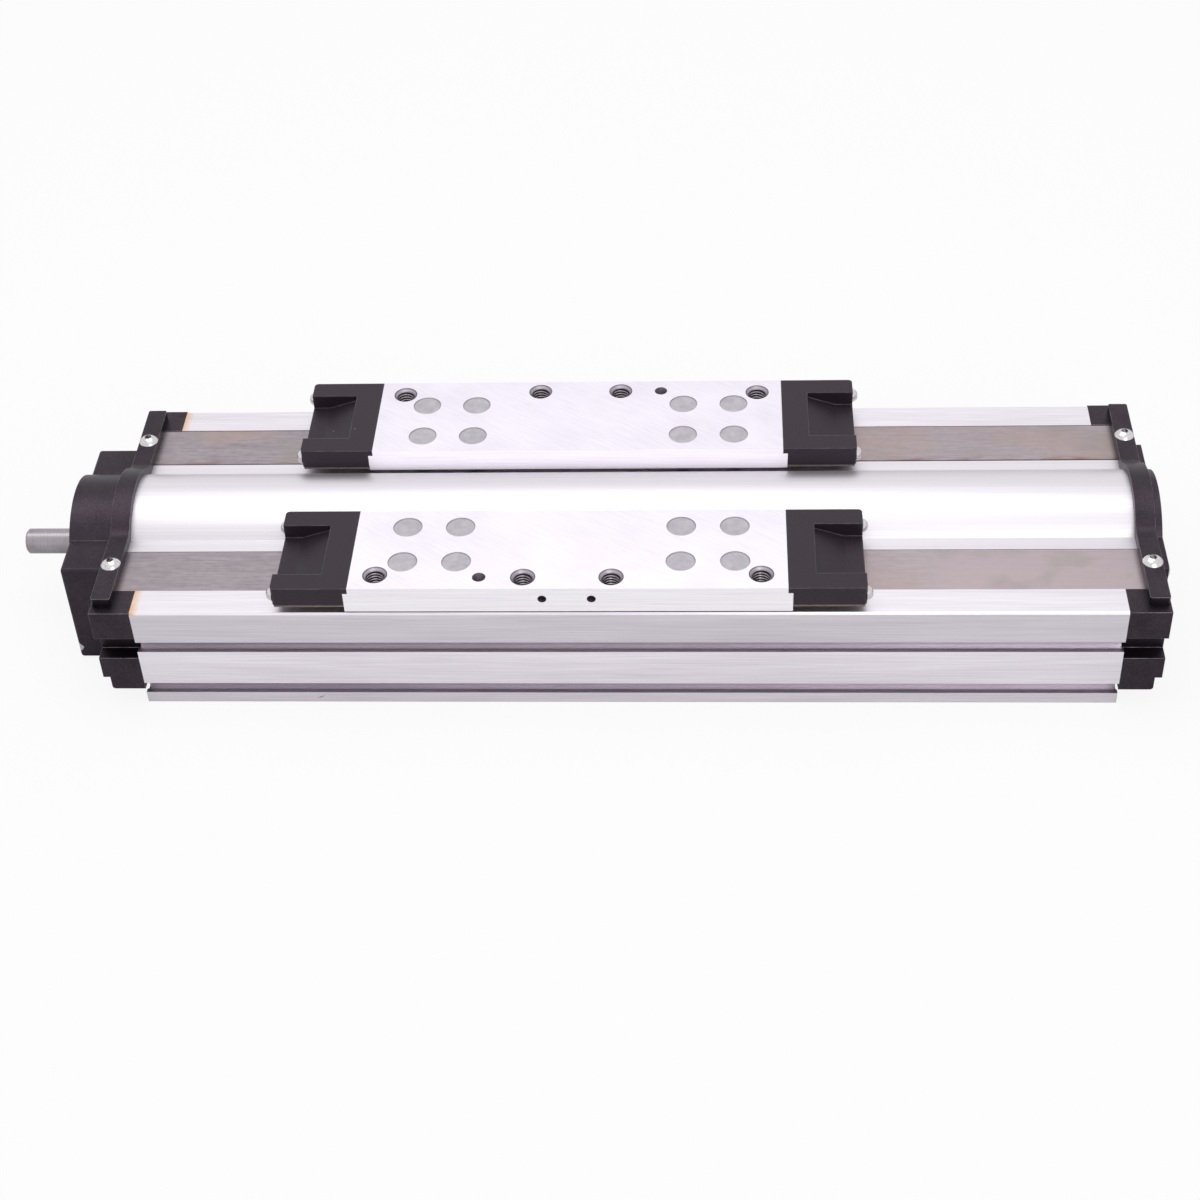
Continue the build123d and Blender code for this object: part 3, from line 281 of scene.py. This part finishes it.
# A knock on the block's lower front corner has left bare metal, 2 mm across.
knock = add_node(black, "VectorMath", {0: place, 1: CHIP_PLACE}, operation="DISTANCE")
ragged = add_node(black, "TexNoise", {"Vector": place, "Scale": 700.0, "Detail": 2.0})
ragged = add_node(
    black, "Math", {0: ragged, 1: CHIP_RAGGEDNESS, 2: knock}, operation="MULTIPLY_ADD"
)
chip = add_node(black, "Math", {0: ragged, 1: CHIP_REACH}, operation="LESS_THAN")
chipped = add_node(black, "Mix", {"Factor": chip, "A": edge_lit, "B": "#C9C4D0"}, data_type="RGBA")
relief = add_node(
    black, "Bump", {"Height": specks, "Strength": 0.14, "Distance": 0.0001, "Normal": rounded}
)
close_material(black, chipped, {"Metallic": 1.0, "Roughness": 0.4, "Normal": relief})
dress(black, "drive_end_cap", "idle_end_cap", "drive_bearing_block", "bearing_cover")


# Carriage with the nut's bracket: one aluminium casting, milled all over. Its two table
# plates are almost white, with the faint diagonal grain of the last cut.

TABLE_MIDDLE = -0.020
HOLE_OFFSETS = ((0.071, 0.0556), (0.0162, 0.0570))
SINK_UNIT = 0.010
BORE_DEPTH = 0.006
CUT_ANGLE = radians(-35)
CUT_SIZE = (0.014, 0.001, 0.001)

# Milled: the cutter's marks are 0.2 mm wide, drawn 1 mm wide so that they show.
milled, place = start_material("aluminium_milled")
cut_frame = {"Rotation": (0, 0, CUT_ANGLE), "Scale": CUT_SIZE}
cut_place = add_node(milled, "Mapping", {"Vector": place, **cut_frame}, vector_type="TEXTURE")
cuts = add_node(milled, "TexNoise", {"Vector": cut_place, "Scale": 1.0, "Detail": 3.0})
shadows = add_node(milled, "TexNoise", {"Vector": place, "Scale": 45.0, "Detail": 2.0})
surface = add_node(milled, "Mix", {"Factor": 0.5, "A": cuts, "B": shadows})
tint = add_node(milled, "ValToRGB", {"Fac": surface}, stops=((0.36, "#E2DCE7"), (0.62, "#EBE6F0")))
# The long side faces get painted light: a brighter tint, with the lines of the cutter's flank.
normal = add_node(milled, "NewGeometry", out="Normal")
facing = add_node(milled, "SeparateXYZ", {"Vector": normal}, out="Y")
sideways = add_node(milled, "Math", {0: facing}, operation="ABSOLUTE")
side_light_mask = add_node(milled, "MapRange", {"Value": sideways, "From Min": 0.5, "From Max": 0.9})
flank_place = add_node(milled, "Mapping", {"Vector": place, "Scale": (30, 100, 1600)})
flank_lines = add_node(milled, "TexNoise", {"Vector": flank_place, "Scale": 1.0, "Detail": 3.0})
side_light_stops = ((0.3, "#F5F0F8"), (0.7, "#FFFDFF"))
side_light_tint = add_node(milled, "ValToRGB", {"Fac": flank_lines}, stops=side_light_stops)
side_lit = add_node(milled, "Mix", {"Factor": side_light_mask, "A": tint, "B": side_light_tint}, data_type="RGBA")
# The screw holes are countersunk, and get painted shade: dark and grey rings around the
# nearest one, in units of 10 mm. The table is folded over its two middle lines, so that
# its eight holes become two.
folded = add_node(milled, "VectorMath", {0: place, 1: (-TABLE_MIDDLE, 0, 0)}, operation="ADD")
folded = add_node(milled, "VectorMath", {0: folded}, operation="ABSOLUTE")
folded = add_node(
    milled, "VectorMath", {0: folded, 1: (1 / SINK_UNIT, 1 / SINK_UNIT, 0)}, operation="MULTIPLY"
)
ring_middles = [(x / SINK_UNIT, y / SINK_UNIT, 0) for x, y in HOLE_OFFSETS]
first, second = (
    add_node(milled, "VectorMath", {0: folded, 1: middle}, operation="DISTANCE")
    for middle in ring_middles
)
nearest = add_node(milled, "Math", {0: first, 1: second}, operation="MINIMUM")
sink_shade_stops = (
    (0.335, "#575055"),
    (0.345, "#9F999F"),
    (0.40, "#C6C1C8"),
    (0.44, "#8E888E"),
    (0.462, "#6B656B"),
    (0.468, "#FFFFFF"),
)
sink_shade = add_node(milled, "ValToRGB", {"Fac": nearest}, stops=sink_shade_stops)
sink_shaded = add_node(milled, "Mix", {"Factor": 1.0, "A": side_lit, "B": sink_shade}, **TINTING)
# The bores are dark at the bottom, where little light gets in.
openness = add_node(milled, "AmbientOcclusion", {"Distance": BORE_DEPTH}, out="AO", samples=8)
gloom = add_node(milled, "ValToRGB", {"Fac": openness}, stops=((0.1, "#C2BCC1"), (0.4, "#FFFFFF")))
deep = add_node(milled, "Mix", {"Factor": 1.0, "A": sink_shaded, "B": gloom}, **TINTING)
relief = add_node(milled, "Bump", {"Height": cuts, "Strength": 0.05, "Distance": 0.0001})
close_material(milled, deep, {"Metallic": 1.0, "Roughness": 0.4, "Normal": relief})
dress(milled, "carriage", "nut_bracket")


# Thread inserts: stainless wire wound into the eight M8 holes of the table plates, a
# coil of 1.25 mm pitch whose turns stand out of the hole's wall.

HOLE_RADIUS = 0.0034
WIRE_RADIUS = 0.00026
PITCH = 0.00125
TURNS = 7
STEPS_PER_TURN = 24
COIL_BOTTOM = 0.0489
MIRRORED = [(along, across) for along in (-1, 1) for across in (-1, 1)]
TABLE_HOLES = [
    (TABLE_MIDDLE + along * x, across * y, 0) for x, y in HOLE_OFFSETS for along, across in MIRRORED
]


def set_copies(piece, matrices):
    """Move a piece's mesh by the first matrix and a copy by each other one; return them all."""
    copies = [piece] + [piece.copy() for _ in matrices[1:]]
    for copied in copies[1:]:
        copied.data = piece.data.copy()
        bpy.context.scene.collection.objects.link(copied)
    for copied, matrix in zip(copies, matrices):
        copied.data.transform(matrix)
    return copies


# Drawn wire: bright and smooth, with a few dull spots.
wire_steel = make_speckled(
    "stainless_steel_wire",
    scale=1200.0,
    detail=2.0,
    colours=("#7E767B", "#AAA2A8"),
    look={"Metallic": 1.0, "Roughness": 0.28},
)

bpy.ops.object.select_all(action="DESELECT")
bpy.ops.mesh.primitive_circle_add(
    vertices=4,
    radius=WIRE_RADIUS,
    location=(HOLE_RADIUS - WIRE_RADIUS / 2, 0, COIL_BOTTOM),
    rotation=(pi / 2, 0, 0),
)
coil = bpy.context.object
bpy.ops.object.transform_apply()
winding = coil.modifiers.new("winding", "SCREW")
winding.screw_offset = PITCH
winding.iterations = TURNS
winding.steps = winding.render_steps = STEPS_PER_TURN
bpy.ops.object.modifier_apply(modifier="winding")
bpy.ops.object.mode_set(mode="EDIT")
bpy.ops.mesh.select_all(action="SELECT")
bpy.ops.mesh.fill_holes(sides=4)
bpy.ops.mesh.normals_make_consistent(inside=False)
bpy.ops.object.mode_set(mode="OBJECT")
bpy.ops.object.shade_flat()
coil.data.materials.append(wire_steel)
coils = set_copies(coil, [Matrix.Translation(hole) for hole in TABLE_HOLES])
for number, coil in enumerate(coils, start=1):
    coil.name = f"thread_insert_{number}"
    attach(coil, "carriage")


# Access plugs: grey nylon discs pressed into the sixteen holes over the runner screws.
# Their rims are rounded, with a line of painted shade around them.

RUNNER_PLACE = (0.0515, 0.0382, 0)  # the middle of a runner block, from the table's middle
PLUG_OFFSET = (0.010, 0.010, 0)  # a plug, from the middle of its runner block
PLUG_RADIUS = 0.0055
PLUG_RIM = 0.0006

# Moulded nylon: matt, with a faint mottle of 3 mm. The place is folded until every
# plug's middle is at zero.
plug_nylon, place = start_material("nylon_grey")
mottle = add_node(plug_nylon, "TexNoise", {"Vector": place, "Scale": 350.0, "Detail": 3.0})
tint = add_node(plug_nylon, "ValToRGB", {"Fac": mottle}, stops=((0.3, "#B0ABB3"), (0.7, "#C4BFC6")))
folded = add_node(plug_nylon, "VectorMath", {0: place, 1: (-TABLE_MIDDLE, 0, 0)}, operation="ADD")
for fold in (RUNNER_PLACE, PLUG_OFFSET):
    folded = add_node(plug_nylon, "VectorMath", {0: folded}, operation="ABSOLUTE")
    folded = add_node(plug_nylon, "VectorMath", {0: folded, 1: fold}, operation="SUBTRACT")
folded = add_node(plug_nylon, "VectorMath", {0: folded, 1: (1, 1, 0)}, operation="MULTIPLY")
radius = add_node(plug_nylon, "VectorMath", {0: folded}, operation="LENGTH")
# Painted shade: a darker ring at each plug's rim.
rim_shade_range = {"From Min": PLUG_RADIUS - PLUG_RIM, "From Max": PLUG_RADIUS, "To Max": 0.6}
rim_shade = add_node(plug_nylon, "MapRange", {"Value": radius, **rim_shade_range})
rim_shaded = add_node(plug_nylon, "Mix", {"Factor": rim_shade, "A": tint, "B": "#837C84"}, data_type="RGBA")
close_material(plug_nylon, rim_shaded, {"Roughness": 0.55, "IOR": 1.53})
dress(plug_nylon, "access_plugs")


# Centre cover: drawn aluminium profile arched over the screw, satin anodised. The two
# end caps carry it, and it takes one long soft highlight along its crest.

# Drawn, etched and anodised: lines finer than 0.1 mm along it, drawn 0.7 mm wide.
satin, place = start_material("anodised_aluminium_satin")
draw_place = add_node(satin, "Mapping", {"Vector": place, "Scale": (3, 1500, 1500)})
draw_lines = add_node(satin, "TexNoise", {"Vector": draw_place, "Scale": 1.0, "Detail": 2.0})
tint = add_node(satin, "ValToRGB", {"Fac": draw_lines}, stops=((0.3, "#D5D1D7"), (0.7, "#DEDAE0")))
close_material(satin, tint, {"Metallic": 1.0, "Roughness": 0.45})
dress(satin, "centre_cover")


# End bumpers and the bonded magnets in the ledges: black rubber, hidden under the
# strips and the carriage.

# Rubber: dull and almost black, with a faint bloom of 2 mm.
rubber = make_speckled(
    "rubber_black",
    scale=500.0,
    detail=2.0,
    colours=("#151314", "#2A2627"),
    look={"Roughness": 0.7},
)
dress(rubber, "end_bumpers", "strip_magnets")


# Seal strips: cold-rolled stainless spring steel, 0.3 mm thick, clamped at both ends
# and held down by magnets. The carriage lifts each strip through its tunnel, so each
# is made of two halves.

STRIP_HALF_LENGTH = 0.198
STRIP_WIDTH = 0.022
STRIP_MIDDLE = 0.0383
STRIP_EDGE = STRIP_MIDDLE - STRIP_WIDTH / 2
STRIP_THICKNESS = 0.0003
STEP_LENGTH = 0.001
LAY_HEIGHT = 0.07
# Each half's name and ends, the bodies it bends between, and where the bend lies.
HALVES = (
    ("left", -STRIP_HALF_LENGTH, TABLE_MIDDLE, ("base", "carriage"), (-0.203, -0.120)),
    ("right", TABLE_MIDDLE, STRIP_HALF_LENGTH, ("carriage", "base"), (0.060, 0.203)),
)
SMOOTH_ANGLE = radians(30)
PALE_SPAN = (0.06, 0.125)  # along the travel
RUST_REACH = (0.0035, 0.0005)  # from the rear strip's inner edge
# The painted shadow along the rear strip's inner edge: its reach and strength.
RIM_SHADE_REACH = (0.0006, 0.0001)
RIM_SHADE_STRENGTH = 0.8

# Rolling leaves lines 0.1 mm wide, drawn 0.5 mm wide and 12 mm long so that they show.
rolled, place = start_material("stainless_steel_rolled")
roll_place = add_node(rolled, "Mapping", {"Vector": place, "Scale": (80, 2000, 100)})
roll_lines = add_node(rolled, "TexNoise", {"Vector": roll_place, "Scale": 1.0, "Detail": 3.0})
cloud_place = add_node(rolled, "Mapping", {"Vector": place, "Scale": (260, 480, 60)})
clouds = add_node(rolled, "TexNoise", {"Vector": cloud_place, "Scale": 1.0, "Detail": 5.0})
surface = add_node(rolled, "Mix", {"Factor": 0.4, "A": roll_lines, "B": clouds})
steel = add_node(rolled, "ValToRGB", {"Fac": surface}, stops=((0.34, "#90878D"), (0.66, "#AAA1A7")))
# The right end is paler, most of all on the front strip.
along, across = add_node(rolled, "SeparateXYZ", {"Vector": place}, out=("X", "Y"))
right_range = {"From Min": PALE_SPAN[0], "From Max": PALE_SPAN[1], "To Max": 0.75}
to_right = add_node(rolled, "MapRange", {"Value": along, **right_range})
front_range = {"From Min": 0.04, "From Max": -0.04, "To Min": 0.35, "To Max": 1.0}
to_front = add_node(rolled, "MapRange", {"Value": across, **front_range})
paler = add_node(rolled, "Math", {0: to_right, 1: to_front}, operation="MULTIPLY")
steel = add_node(rolled, "Mix", {"Factor": paler, "A": steel, "B": "#BDAEB1"}, data_type="RGBA")
# Oil and touch leave warm patches and then grey ones: the place and stretch of their
# noise, its detail, where in it they begin and are full, their strength and colour.
for shift, stretch, detail, begin, full, strength, patch_colour in (
    ((0.9, 0.35, 0), (26, 55, 60), 4.0, 0.5, 0.66, 0.55, "#B09A92"),
    ((4.1, 1.7, 0), (34, 40, 60), 3.0, 0.54, 0.7, 0.7, "#98918F"),
):
    patch_frame = {"Location": shift, "Scale": stretch}
    patch_place = add_node(rolled, "Mapping", {"Vector": place, **patch_frame})
    patch = add_node(rolled, "TexNoise", {"Vector": patch_place, "Scale": 1.0, "Detail": detail})
    patch_range = {"From Min": begin, "From Max": full, "To Max": strength}
    patch = add_node(rolled, "MapRange", {"Value": patch, **patch_range})
    patch_mix = {"Factor": patch, "A": steel, "B": patch_colour}
    steel = add_node(rolled, "Mix", patch_mix, data_type="RGBA")
# Rust creeps 3 mm in from the rear strip's inner edge, and a line of painted shadow, almost black,
# lies along that edge.
creep_place = add_node(rolled, "Mapping", {"Vector": place, "Scale": (110, 700, 60)})
creep = add_node(rolled, "TexNoise", {"Vector": creep_place, "Scale": 1.0, "Detail": 4.0})
creep = add_node(rolled, "MapRange", {"Value": creep, "From Min": 0.45, "From Max": 0.7})
near_edge, shaded_edge = (
    add_node(
        rolled,
        "MapRange",
        {"Value": across, "From Min": STRIP_EDGE + start, "From Max": STRIP_EDGE + end},
    )
    for start, end in (RUST_REACH, RIM_SHADE_REACH)
)
on_rear = add_node(rolled, "Math", {0: across, 1: 0.0}, operation="GREATER_THAN")
rust = add_node(rolled, "Math", {0: near_edge, 1: on_rear}, operation="MULTIPLY")
rust = add_node(rolled, "Math", {0: rust, 1: creep}, operation="MULTIPLY")
rusted = add_node(rolled, "Mix", {"Factor": rust, "A": steel, "B": "#8E6A64"}, data_type="RGBA")
rim_shade = add_node(rolled, "Math", {0: shaded_edge, 1: on_rear}, operation="MULTIPLY")
rim_shade = add_node(rolled, "Math", {0: rim_shade, 1: RIM_SHADE_STRENGTH}, operation="MULTIPLY")
rim_shaded = add_node(rolled, "Mix", {"Factor": rim_shade, "A": rusted, "B": "#3E2E2D"}, data_type="RGBA")
relief = add_node(rolled, "Bump", {"Height": roll_lines, "Strength": 0.05, "Distance": 0.0001})
close_material(rolled, rim_shaded, {"Metallic": 1.0, "Roughness": 0.34, "Normal": relief})

# Both halves are laid on the CAD's strip.
for side, middle in (("front", -STRIP_MIDDLE), ("rear", STRIP_MIDDLE)):
    halves = []
    for half, left, right, bodies, bend in HALVES:
        bpy.ops.object.select_all(action="DESELECT")
        bpy.ops.mesh.primitive_grid_add(
            x_subdivisions=round((right - left) / STEP_LENGTH),
            y_subdivisions=1,
            size=1.0,
            location=((left + right) / 2, middle, LAY_HEIGHT),
        )
        strip = bpy.context.object
        strip.name = f"{side}_strip_{half}"
        strip.scale = (right - left, STRIP_WIDTH, 1.0)
        bpy.ops.object.transform_apply()
        lay = strip.modifiers.new("lay", "SHRINKWRAP")
        lay.target = nodes[f"{side}_seal_strip"]
        lay.wrap_method = "PROJECT"
        lay.use_project_z = True
        lay.use_negative_direction = True
        lay.use_positive_direction = False
        bpy.ops.object.modifier_apply(modifier="lay")
        rolling = strip.modifiers.new("rolling", "SOLIDIFY")
        rolling.thickness = STRIP_THICKNESS
        rolling.offset = -1.0
        bpy.ops.object.modifier_apply(modifier="rolling")
        bpy.ops.object.shade_smooth_by_angle(angle=SMOOTH_ANGLE)
        strip.data.materials.append(rolled)
        halves.append((strip, bodies, bend))
    for strip, bodies, (start, end) in halves:
        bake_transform(strip)
        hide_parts(f"{side}_seal_strip")


# Strip clamps: bars of the same black aluminium, screwed down over the strips' ends
# and over the cover.

dress(black, "drive_strip_clamp", "idle_strip_clamp")


# Strip guides and the runners' end pieces: injection-moulded black nylon with a fine
# satin skin. Their edges carry a painted grey highlight, and white dust has settled on them.

CRUMB_SCALE = 170.0
CRUMB_SHARE = 0.035

# The mould's eroded skin has a grain of 0.1 mm, drawn 0.5 mm wide.
nylon, place = start_material("nylon_black_moulded")
skin = add_node(nylon, "TexNoise", {"Vector": place, "Scale": 2200.0, "Detail": 2.0})
tint = add_node(nylon, "ValToRGB", {"Fac": skin}, stops=((0.3, "#211921"), (0.75, "#2E262E")))
patches = {"From Min": 0.4, "From Max": 0.7, "To Min": 0.3, "To Max": 0.85}
# Painted highlight: a lighter grey along the edges, broken up by noise.
rounded, edge_highlight = find_edge_highlight(nylon, place, radius=0.0007, scale=260.0, patches=patches)
edge_lit = add_node(nylon, "Mix", {"Factor": edge_highlight, "A": tint, "B": "#7A727B"}, data_type="RGBA")
# Dust: specks 0.4 mm across, about one in each square centimetre.
crumb = add_node(nylon, "TexVoronoi", {"Vector": place, "Scale": CRUMB_SCALE})
crumb = add_node(nylon, "Math", {0: crumb, 1: CRUMB_SHARE}, operation="LESS_THAN")
gathered = add_node(nylon, "TexNoise", {"Vector": place, "Scale": 60.0, "Detail": 1.0})
gathered = add_node(nylon, "Math", {0: gathered, 1: 0.5}, operation="GREATER_THAN")
dust = add_node(nylon, "Math", {0: crumb, 1: gathered}, operation="MULTIPLY")
dusty = add_node(nylon, "Mix", {"Factor": dust, "A": edge_lit, "B": "#B3ADB4"}, data_type="RGBA")
relief = add_node(
    nylon, "Bump", {"Height": skin, "Strength": 0.1, "Distance": 0.0001, "Normal": rounded}
)
nylon_look = {
    "Roughness": 0.42,
    "IOR": 1.53,
    "Specular IOR Level": 0.29,
    "Specular Tint": "#FBE9FC",
    "Normal": relief,
}
close_material(nylon, dusty, nylon_look)
dress(nylon, "runner_end_pieces", *(f"strip_guide_{corner}" for corner in CORNERS))


# Wipers: strips of taupe felt under the guides' rims, which sweep the seal strips.

# Pressed felt: quite matt. The fibres are 0.03 mm thick, drawn 0.5 mm thick.
felt = make_speckled(
    "felt_taupe",
    scale=1800.0,
    detail=4.0,
    colours=("#675B55", "#8B7F78"),
    look={"Roughness": 0.9},
)
dress(felt, "guide_wipers")


# Bright screws: stainless steel, turned. Those of the cover plate, clamps and guides
# have domed heads with hexagon sockets. The caps' and the block's are shaped below.

SOCKET_REACH = 0.0016

# Turned and polished: it mirrors the studio softly, and light gets lost in the sockets.
bright, place = start_material("stainless_steel_turned")
turning = add_node(bright, "TexNoise", {"Vector": place, "Scale": 1500.0, "Detail": 2.0})
tint = add_node(bright, "ValToRGB", {"Fac": turning}, stops=((0.3, "#C4BFC1"), (0.7, "#E0DCDE")))
openness = add_node(bright, "AmbientOcclusion", {"Distance": SOCKET_REACH}, out="AO", samples=8)
gloom = add_node(bright, "ValToRGB", {"Fac": openness}, stops=((0.3, "#6E686C"), (0.85, "#FFFFFF")))
shaded = add_node(bright, "Mix", {"Factor": 1.0, "A": tint, "B": gloom}, **TINTING)
close_material(bright, shaded, {"Metallic": 1.0, "Roughness": 0.22})
dress(bright, "end_cap_screws", "bearing_block_screws", "bearing_cover_screws")
dress(bright, "strip_clamp_screws", "guide_screws")


# Cap screws: M5 socket heads sunk into the end caps and the block, stainless steel.
# Each is forged with a hexagon socket and holds its piece to the one behind it.

HEAD_SIDES = 32
HEAD_RADIUS = 0.00425
HEAD_HEIGHT = 0.005
HEAD_EDGE = 0.0004
SHANK_RADIUS = 0.0025
SOCKET_FLATS = 0.004
SOCKET_DEPTH = 0.0026
CAP_FACE = 0.1992
CAP_SHANK = 0.0222
CAP_HEADS = [
    (end * CAP_FACE, y, z) for end in (-1, 1) for y in (-0.0575, 0.0575) for z in (0.0185, 0.0395)
]
BLOCK_FACE = -0.2154
BLOCK_SHANK = 0.020
BLOCK_HEADS = [(BLOCK_FACE, y, z) for y in (-0.0315, 0.0315) for z in (0.018, 0.0395)]


def choose_faces(piece, upward):
    """Enter edit mode with only the end faces on one side of a piece selected."""
    bpy.ops.object.mode_set(mode="EDIT")
    bpy.ops.mesh.select_mode(type="FACE")
    bpy.ops.mesh.select_all(action="DESELECT")
    bpy.ops.object.mode_set(mode="OBJECT")
    for face in piece.data.polygons:
        face.select = face.normal.z * upward > 0.9
    bpy.ops.object.mode_set(mode="EDIT")


for name, node, shank, heads in (
    ("cap_screws_end_caps", "end_cap_screws", CAP_SHANK, CAP_HEADS),
    ("cap_screws_block", "bearing_block_screws", BLOCK_SHANK, BLOCK_HEADS),
):
    bpy.ops.object.select_all(action="DESELECT")
    bpy.ops.mesh.primitive_cylinder_add(
        vertices=HEAD_SIDES,
        radius=HEAD_RADIUS,
        depth=HEAD_HEIGHT,
        location=(0, 0, -HEAD_HEIGHT / 2),
    )
    screw = bpy.context.object
    bpy.ops.object.transform_apply()
    choose_faces(screw, 1)
    bpy.ops.mesh.bevel(offset=HEAD_EDGE, segments=2)
    choose_faces(screw, -1)
    bpy.ops.mesh.inset(thickness=HEAD_RADIUS - SHANK_RADIUS)
    bpy.ops.mesh.extrude_region_move(TRANSFORM_OT_translate={"value": (0, 0, -shank)})
    bpy.ops.object.mode_set(mode="OBJECT")
    # A hexagon punched into the head, half of it in the air above.
    bpy.ops.mesh.primitive_cylinder_add(
        vertices=6, radius=SOCKET_FLATS / sqrt(3), depth=2 * SOCKET_DEPTH
    )
    punch = bpy.context.object
    bpy.context.view_layer.objects.active = screw
    socket = screw.modifiers.new("socket", "BOOLEAN")
    socket.operation = "DIFFERENCE"
    socket.object = punch
    bpy.ops.object.modifier_apply(modifier="socket")
    bpy.data.objects.remove(punch)
    # The screws point inwards from both ends of the stage.
    turns = [Matrix.Rotation(pi / 2 if head[0] > 0 else -pi / 2, 4, "Y") for head in heads]
    matrices = [Matrix.Translation(head) @ turn for head, turn in zip(heads, turns)]
    bpy.ops.object.select_all(action="DESELECT")
    for copied in set_copies(screw, matrices):
        copied.select_set(True)
    bpy.ops.object.join()
    screw.name = name
    bpy.ops.object.shade_smooth_by_angle(angle=SMOOTH_ANGLE)
    screw.data.materials.append(bright)
    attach(screw, "base")
    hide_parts(node)


# Studio: a white floor and world with two soft lamps. To the camera the floor is
# almost as bright as the world, but it lights the stage only as paper does.

FLOOR_SIZE = 8.0
FLOOR_GLOW = 0.88
AMBIENT_STRENGTH = 0.6
LAMP_AIM = Vector((0, 0, 0.03))
# Each lamp's name, place, size in metres and power in watts.
LAMPS = (
    ("lamp_over", Vector((-0.1, 0.15, 1.1)), 0.9, 4.3),
    ("lamp_front", Vector((0.5, -1.2, 0.9)), 0.8, 4.0),
)

bpy.ops.object.select_all(action="DESELECT")
bpy.ops.mesh.primitive_plane_add(size=FLOOR_SIZE, location=(0, 0, 0))
floor = bpy.context.object
floor.name = "studio_floor"
paper = start_material("paper_white")[0]
matt = add_node(paper, "BsdfDiffuse", {"Color": "#F2F2F2"})
white = add_node(paper, "Emission", {"Color": "#FFFFFF", "Strength": 1.0})
seen = add_node(paper, "LightPath", out="Is Camera Ray")
seen = add_node(paper, "Math", {0: seen, 1: FLOOR_GLOW}, operation="MULTIPLY")
sheet = add_node(paper, "MixShader", {0: seen, 1: matt, 2: white})
add_node(paper, "OutputMaterial", {"Surface": sheet})
floor.data.materials.append(paper)

# The world is white where the camera or a reflection sees it, and dimmer as a light.
world = bpy.data.worlds.new("studio")
bpy.context.scene.world = world
world.use_nodes = True
world.node_tree.nodes.clear()
seeing_rays = ("Is Camera Ray", "Is Glossy Ray", "Is Transmission Ray")
direct, glossy, passing = add_node(world, "LightPath", out=seeing_rays)
shown = add_node(world, "Math", {0: direct, 1: glossy}, operation="MAXIMUM")
shown = add_node(world, "Math", {0: shown, 1: passing}, operation="MAXIMUM")
ambient = add_node(world, "Background", {"Color": "#FFFFFF", "Strength": AMBIENT_STRENGTH})
backdrop = add_node(world, "Background", {"Color": "#FFFFFF", "Strength": 1.0})
mixed = add_node(world, "MixShader", {0: shown, 1: ambient, 2: backdrop})
add_node(world, "OutputWorld", {"Surface": mixed})

for name, lamp_place, size, power in LAMPS:
    lamp_data = bpy.data.lights.new(name, "AREA")
    lamp_data.size = size
    lamp_data.energy = power
    lamp = bpy.data.objects.new(name, lamp_data)
    lamp.location = lamp_place
    lamp.rotation_euler = (LAMP_AIM - lamp_place).to_track_quat("-Z", "Y").to_euler()
    bpy.context.scene.collection.objects.link(lamp)


# Camera: at the photograph's viewing angle, from a fit of the stage's sizes to marks on
# the photograph. The lens has no distortion.

CAMERA_PLACE = (0.03545, -0.67265, 0.59615)
CAMERA_TURN = (0.856154, 0.044686, 0.047848)

camera_data = bpy.data.cameras.new("camera")
camera_data.lens = 67.17
camera_data.sensor_width = 36.0
camera_data.shift_x = 0.0233
camera_data.shift_y = -0.0225
camera = bpy.data.objects.new("camera", camera_data)
camera.location = CAMERA_PLACE
camera.rotation_euler = CAMERA_TURN
bpy.context.scene.collection.objects.link(camera)
bpy.context.scene.camera = camera
bpy.context.scene.view_settings.view_transform = "Standard"
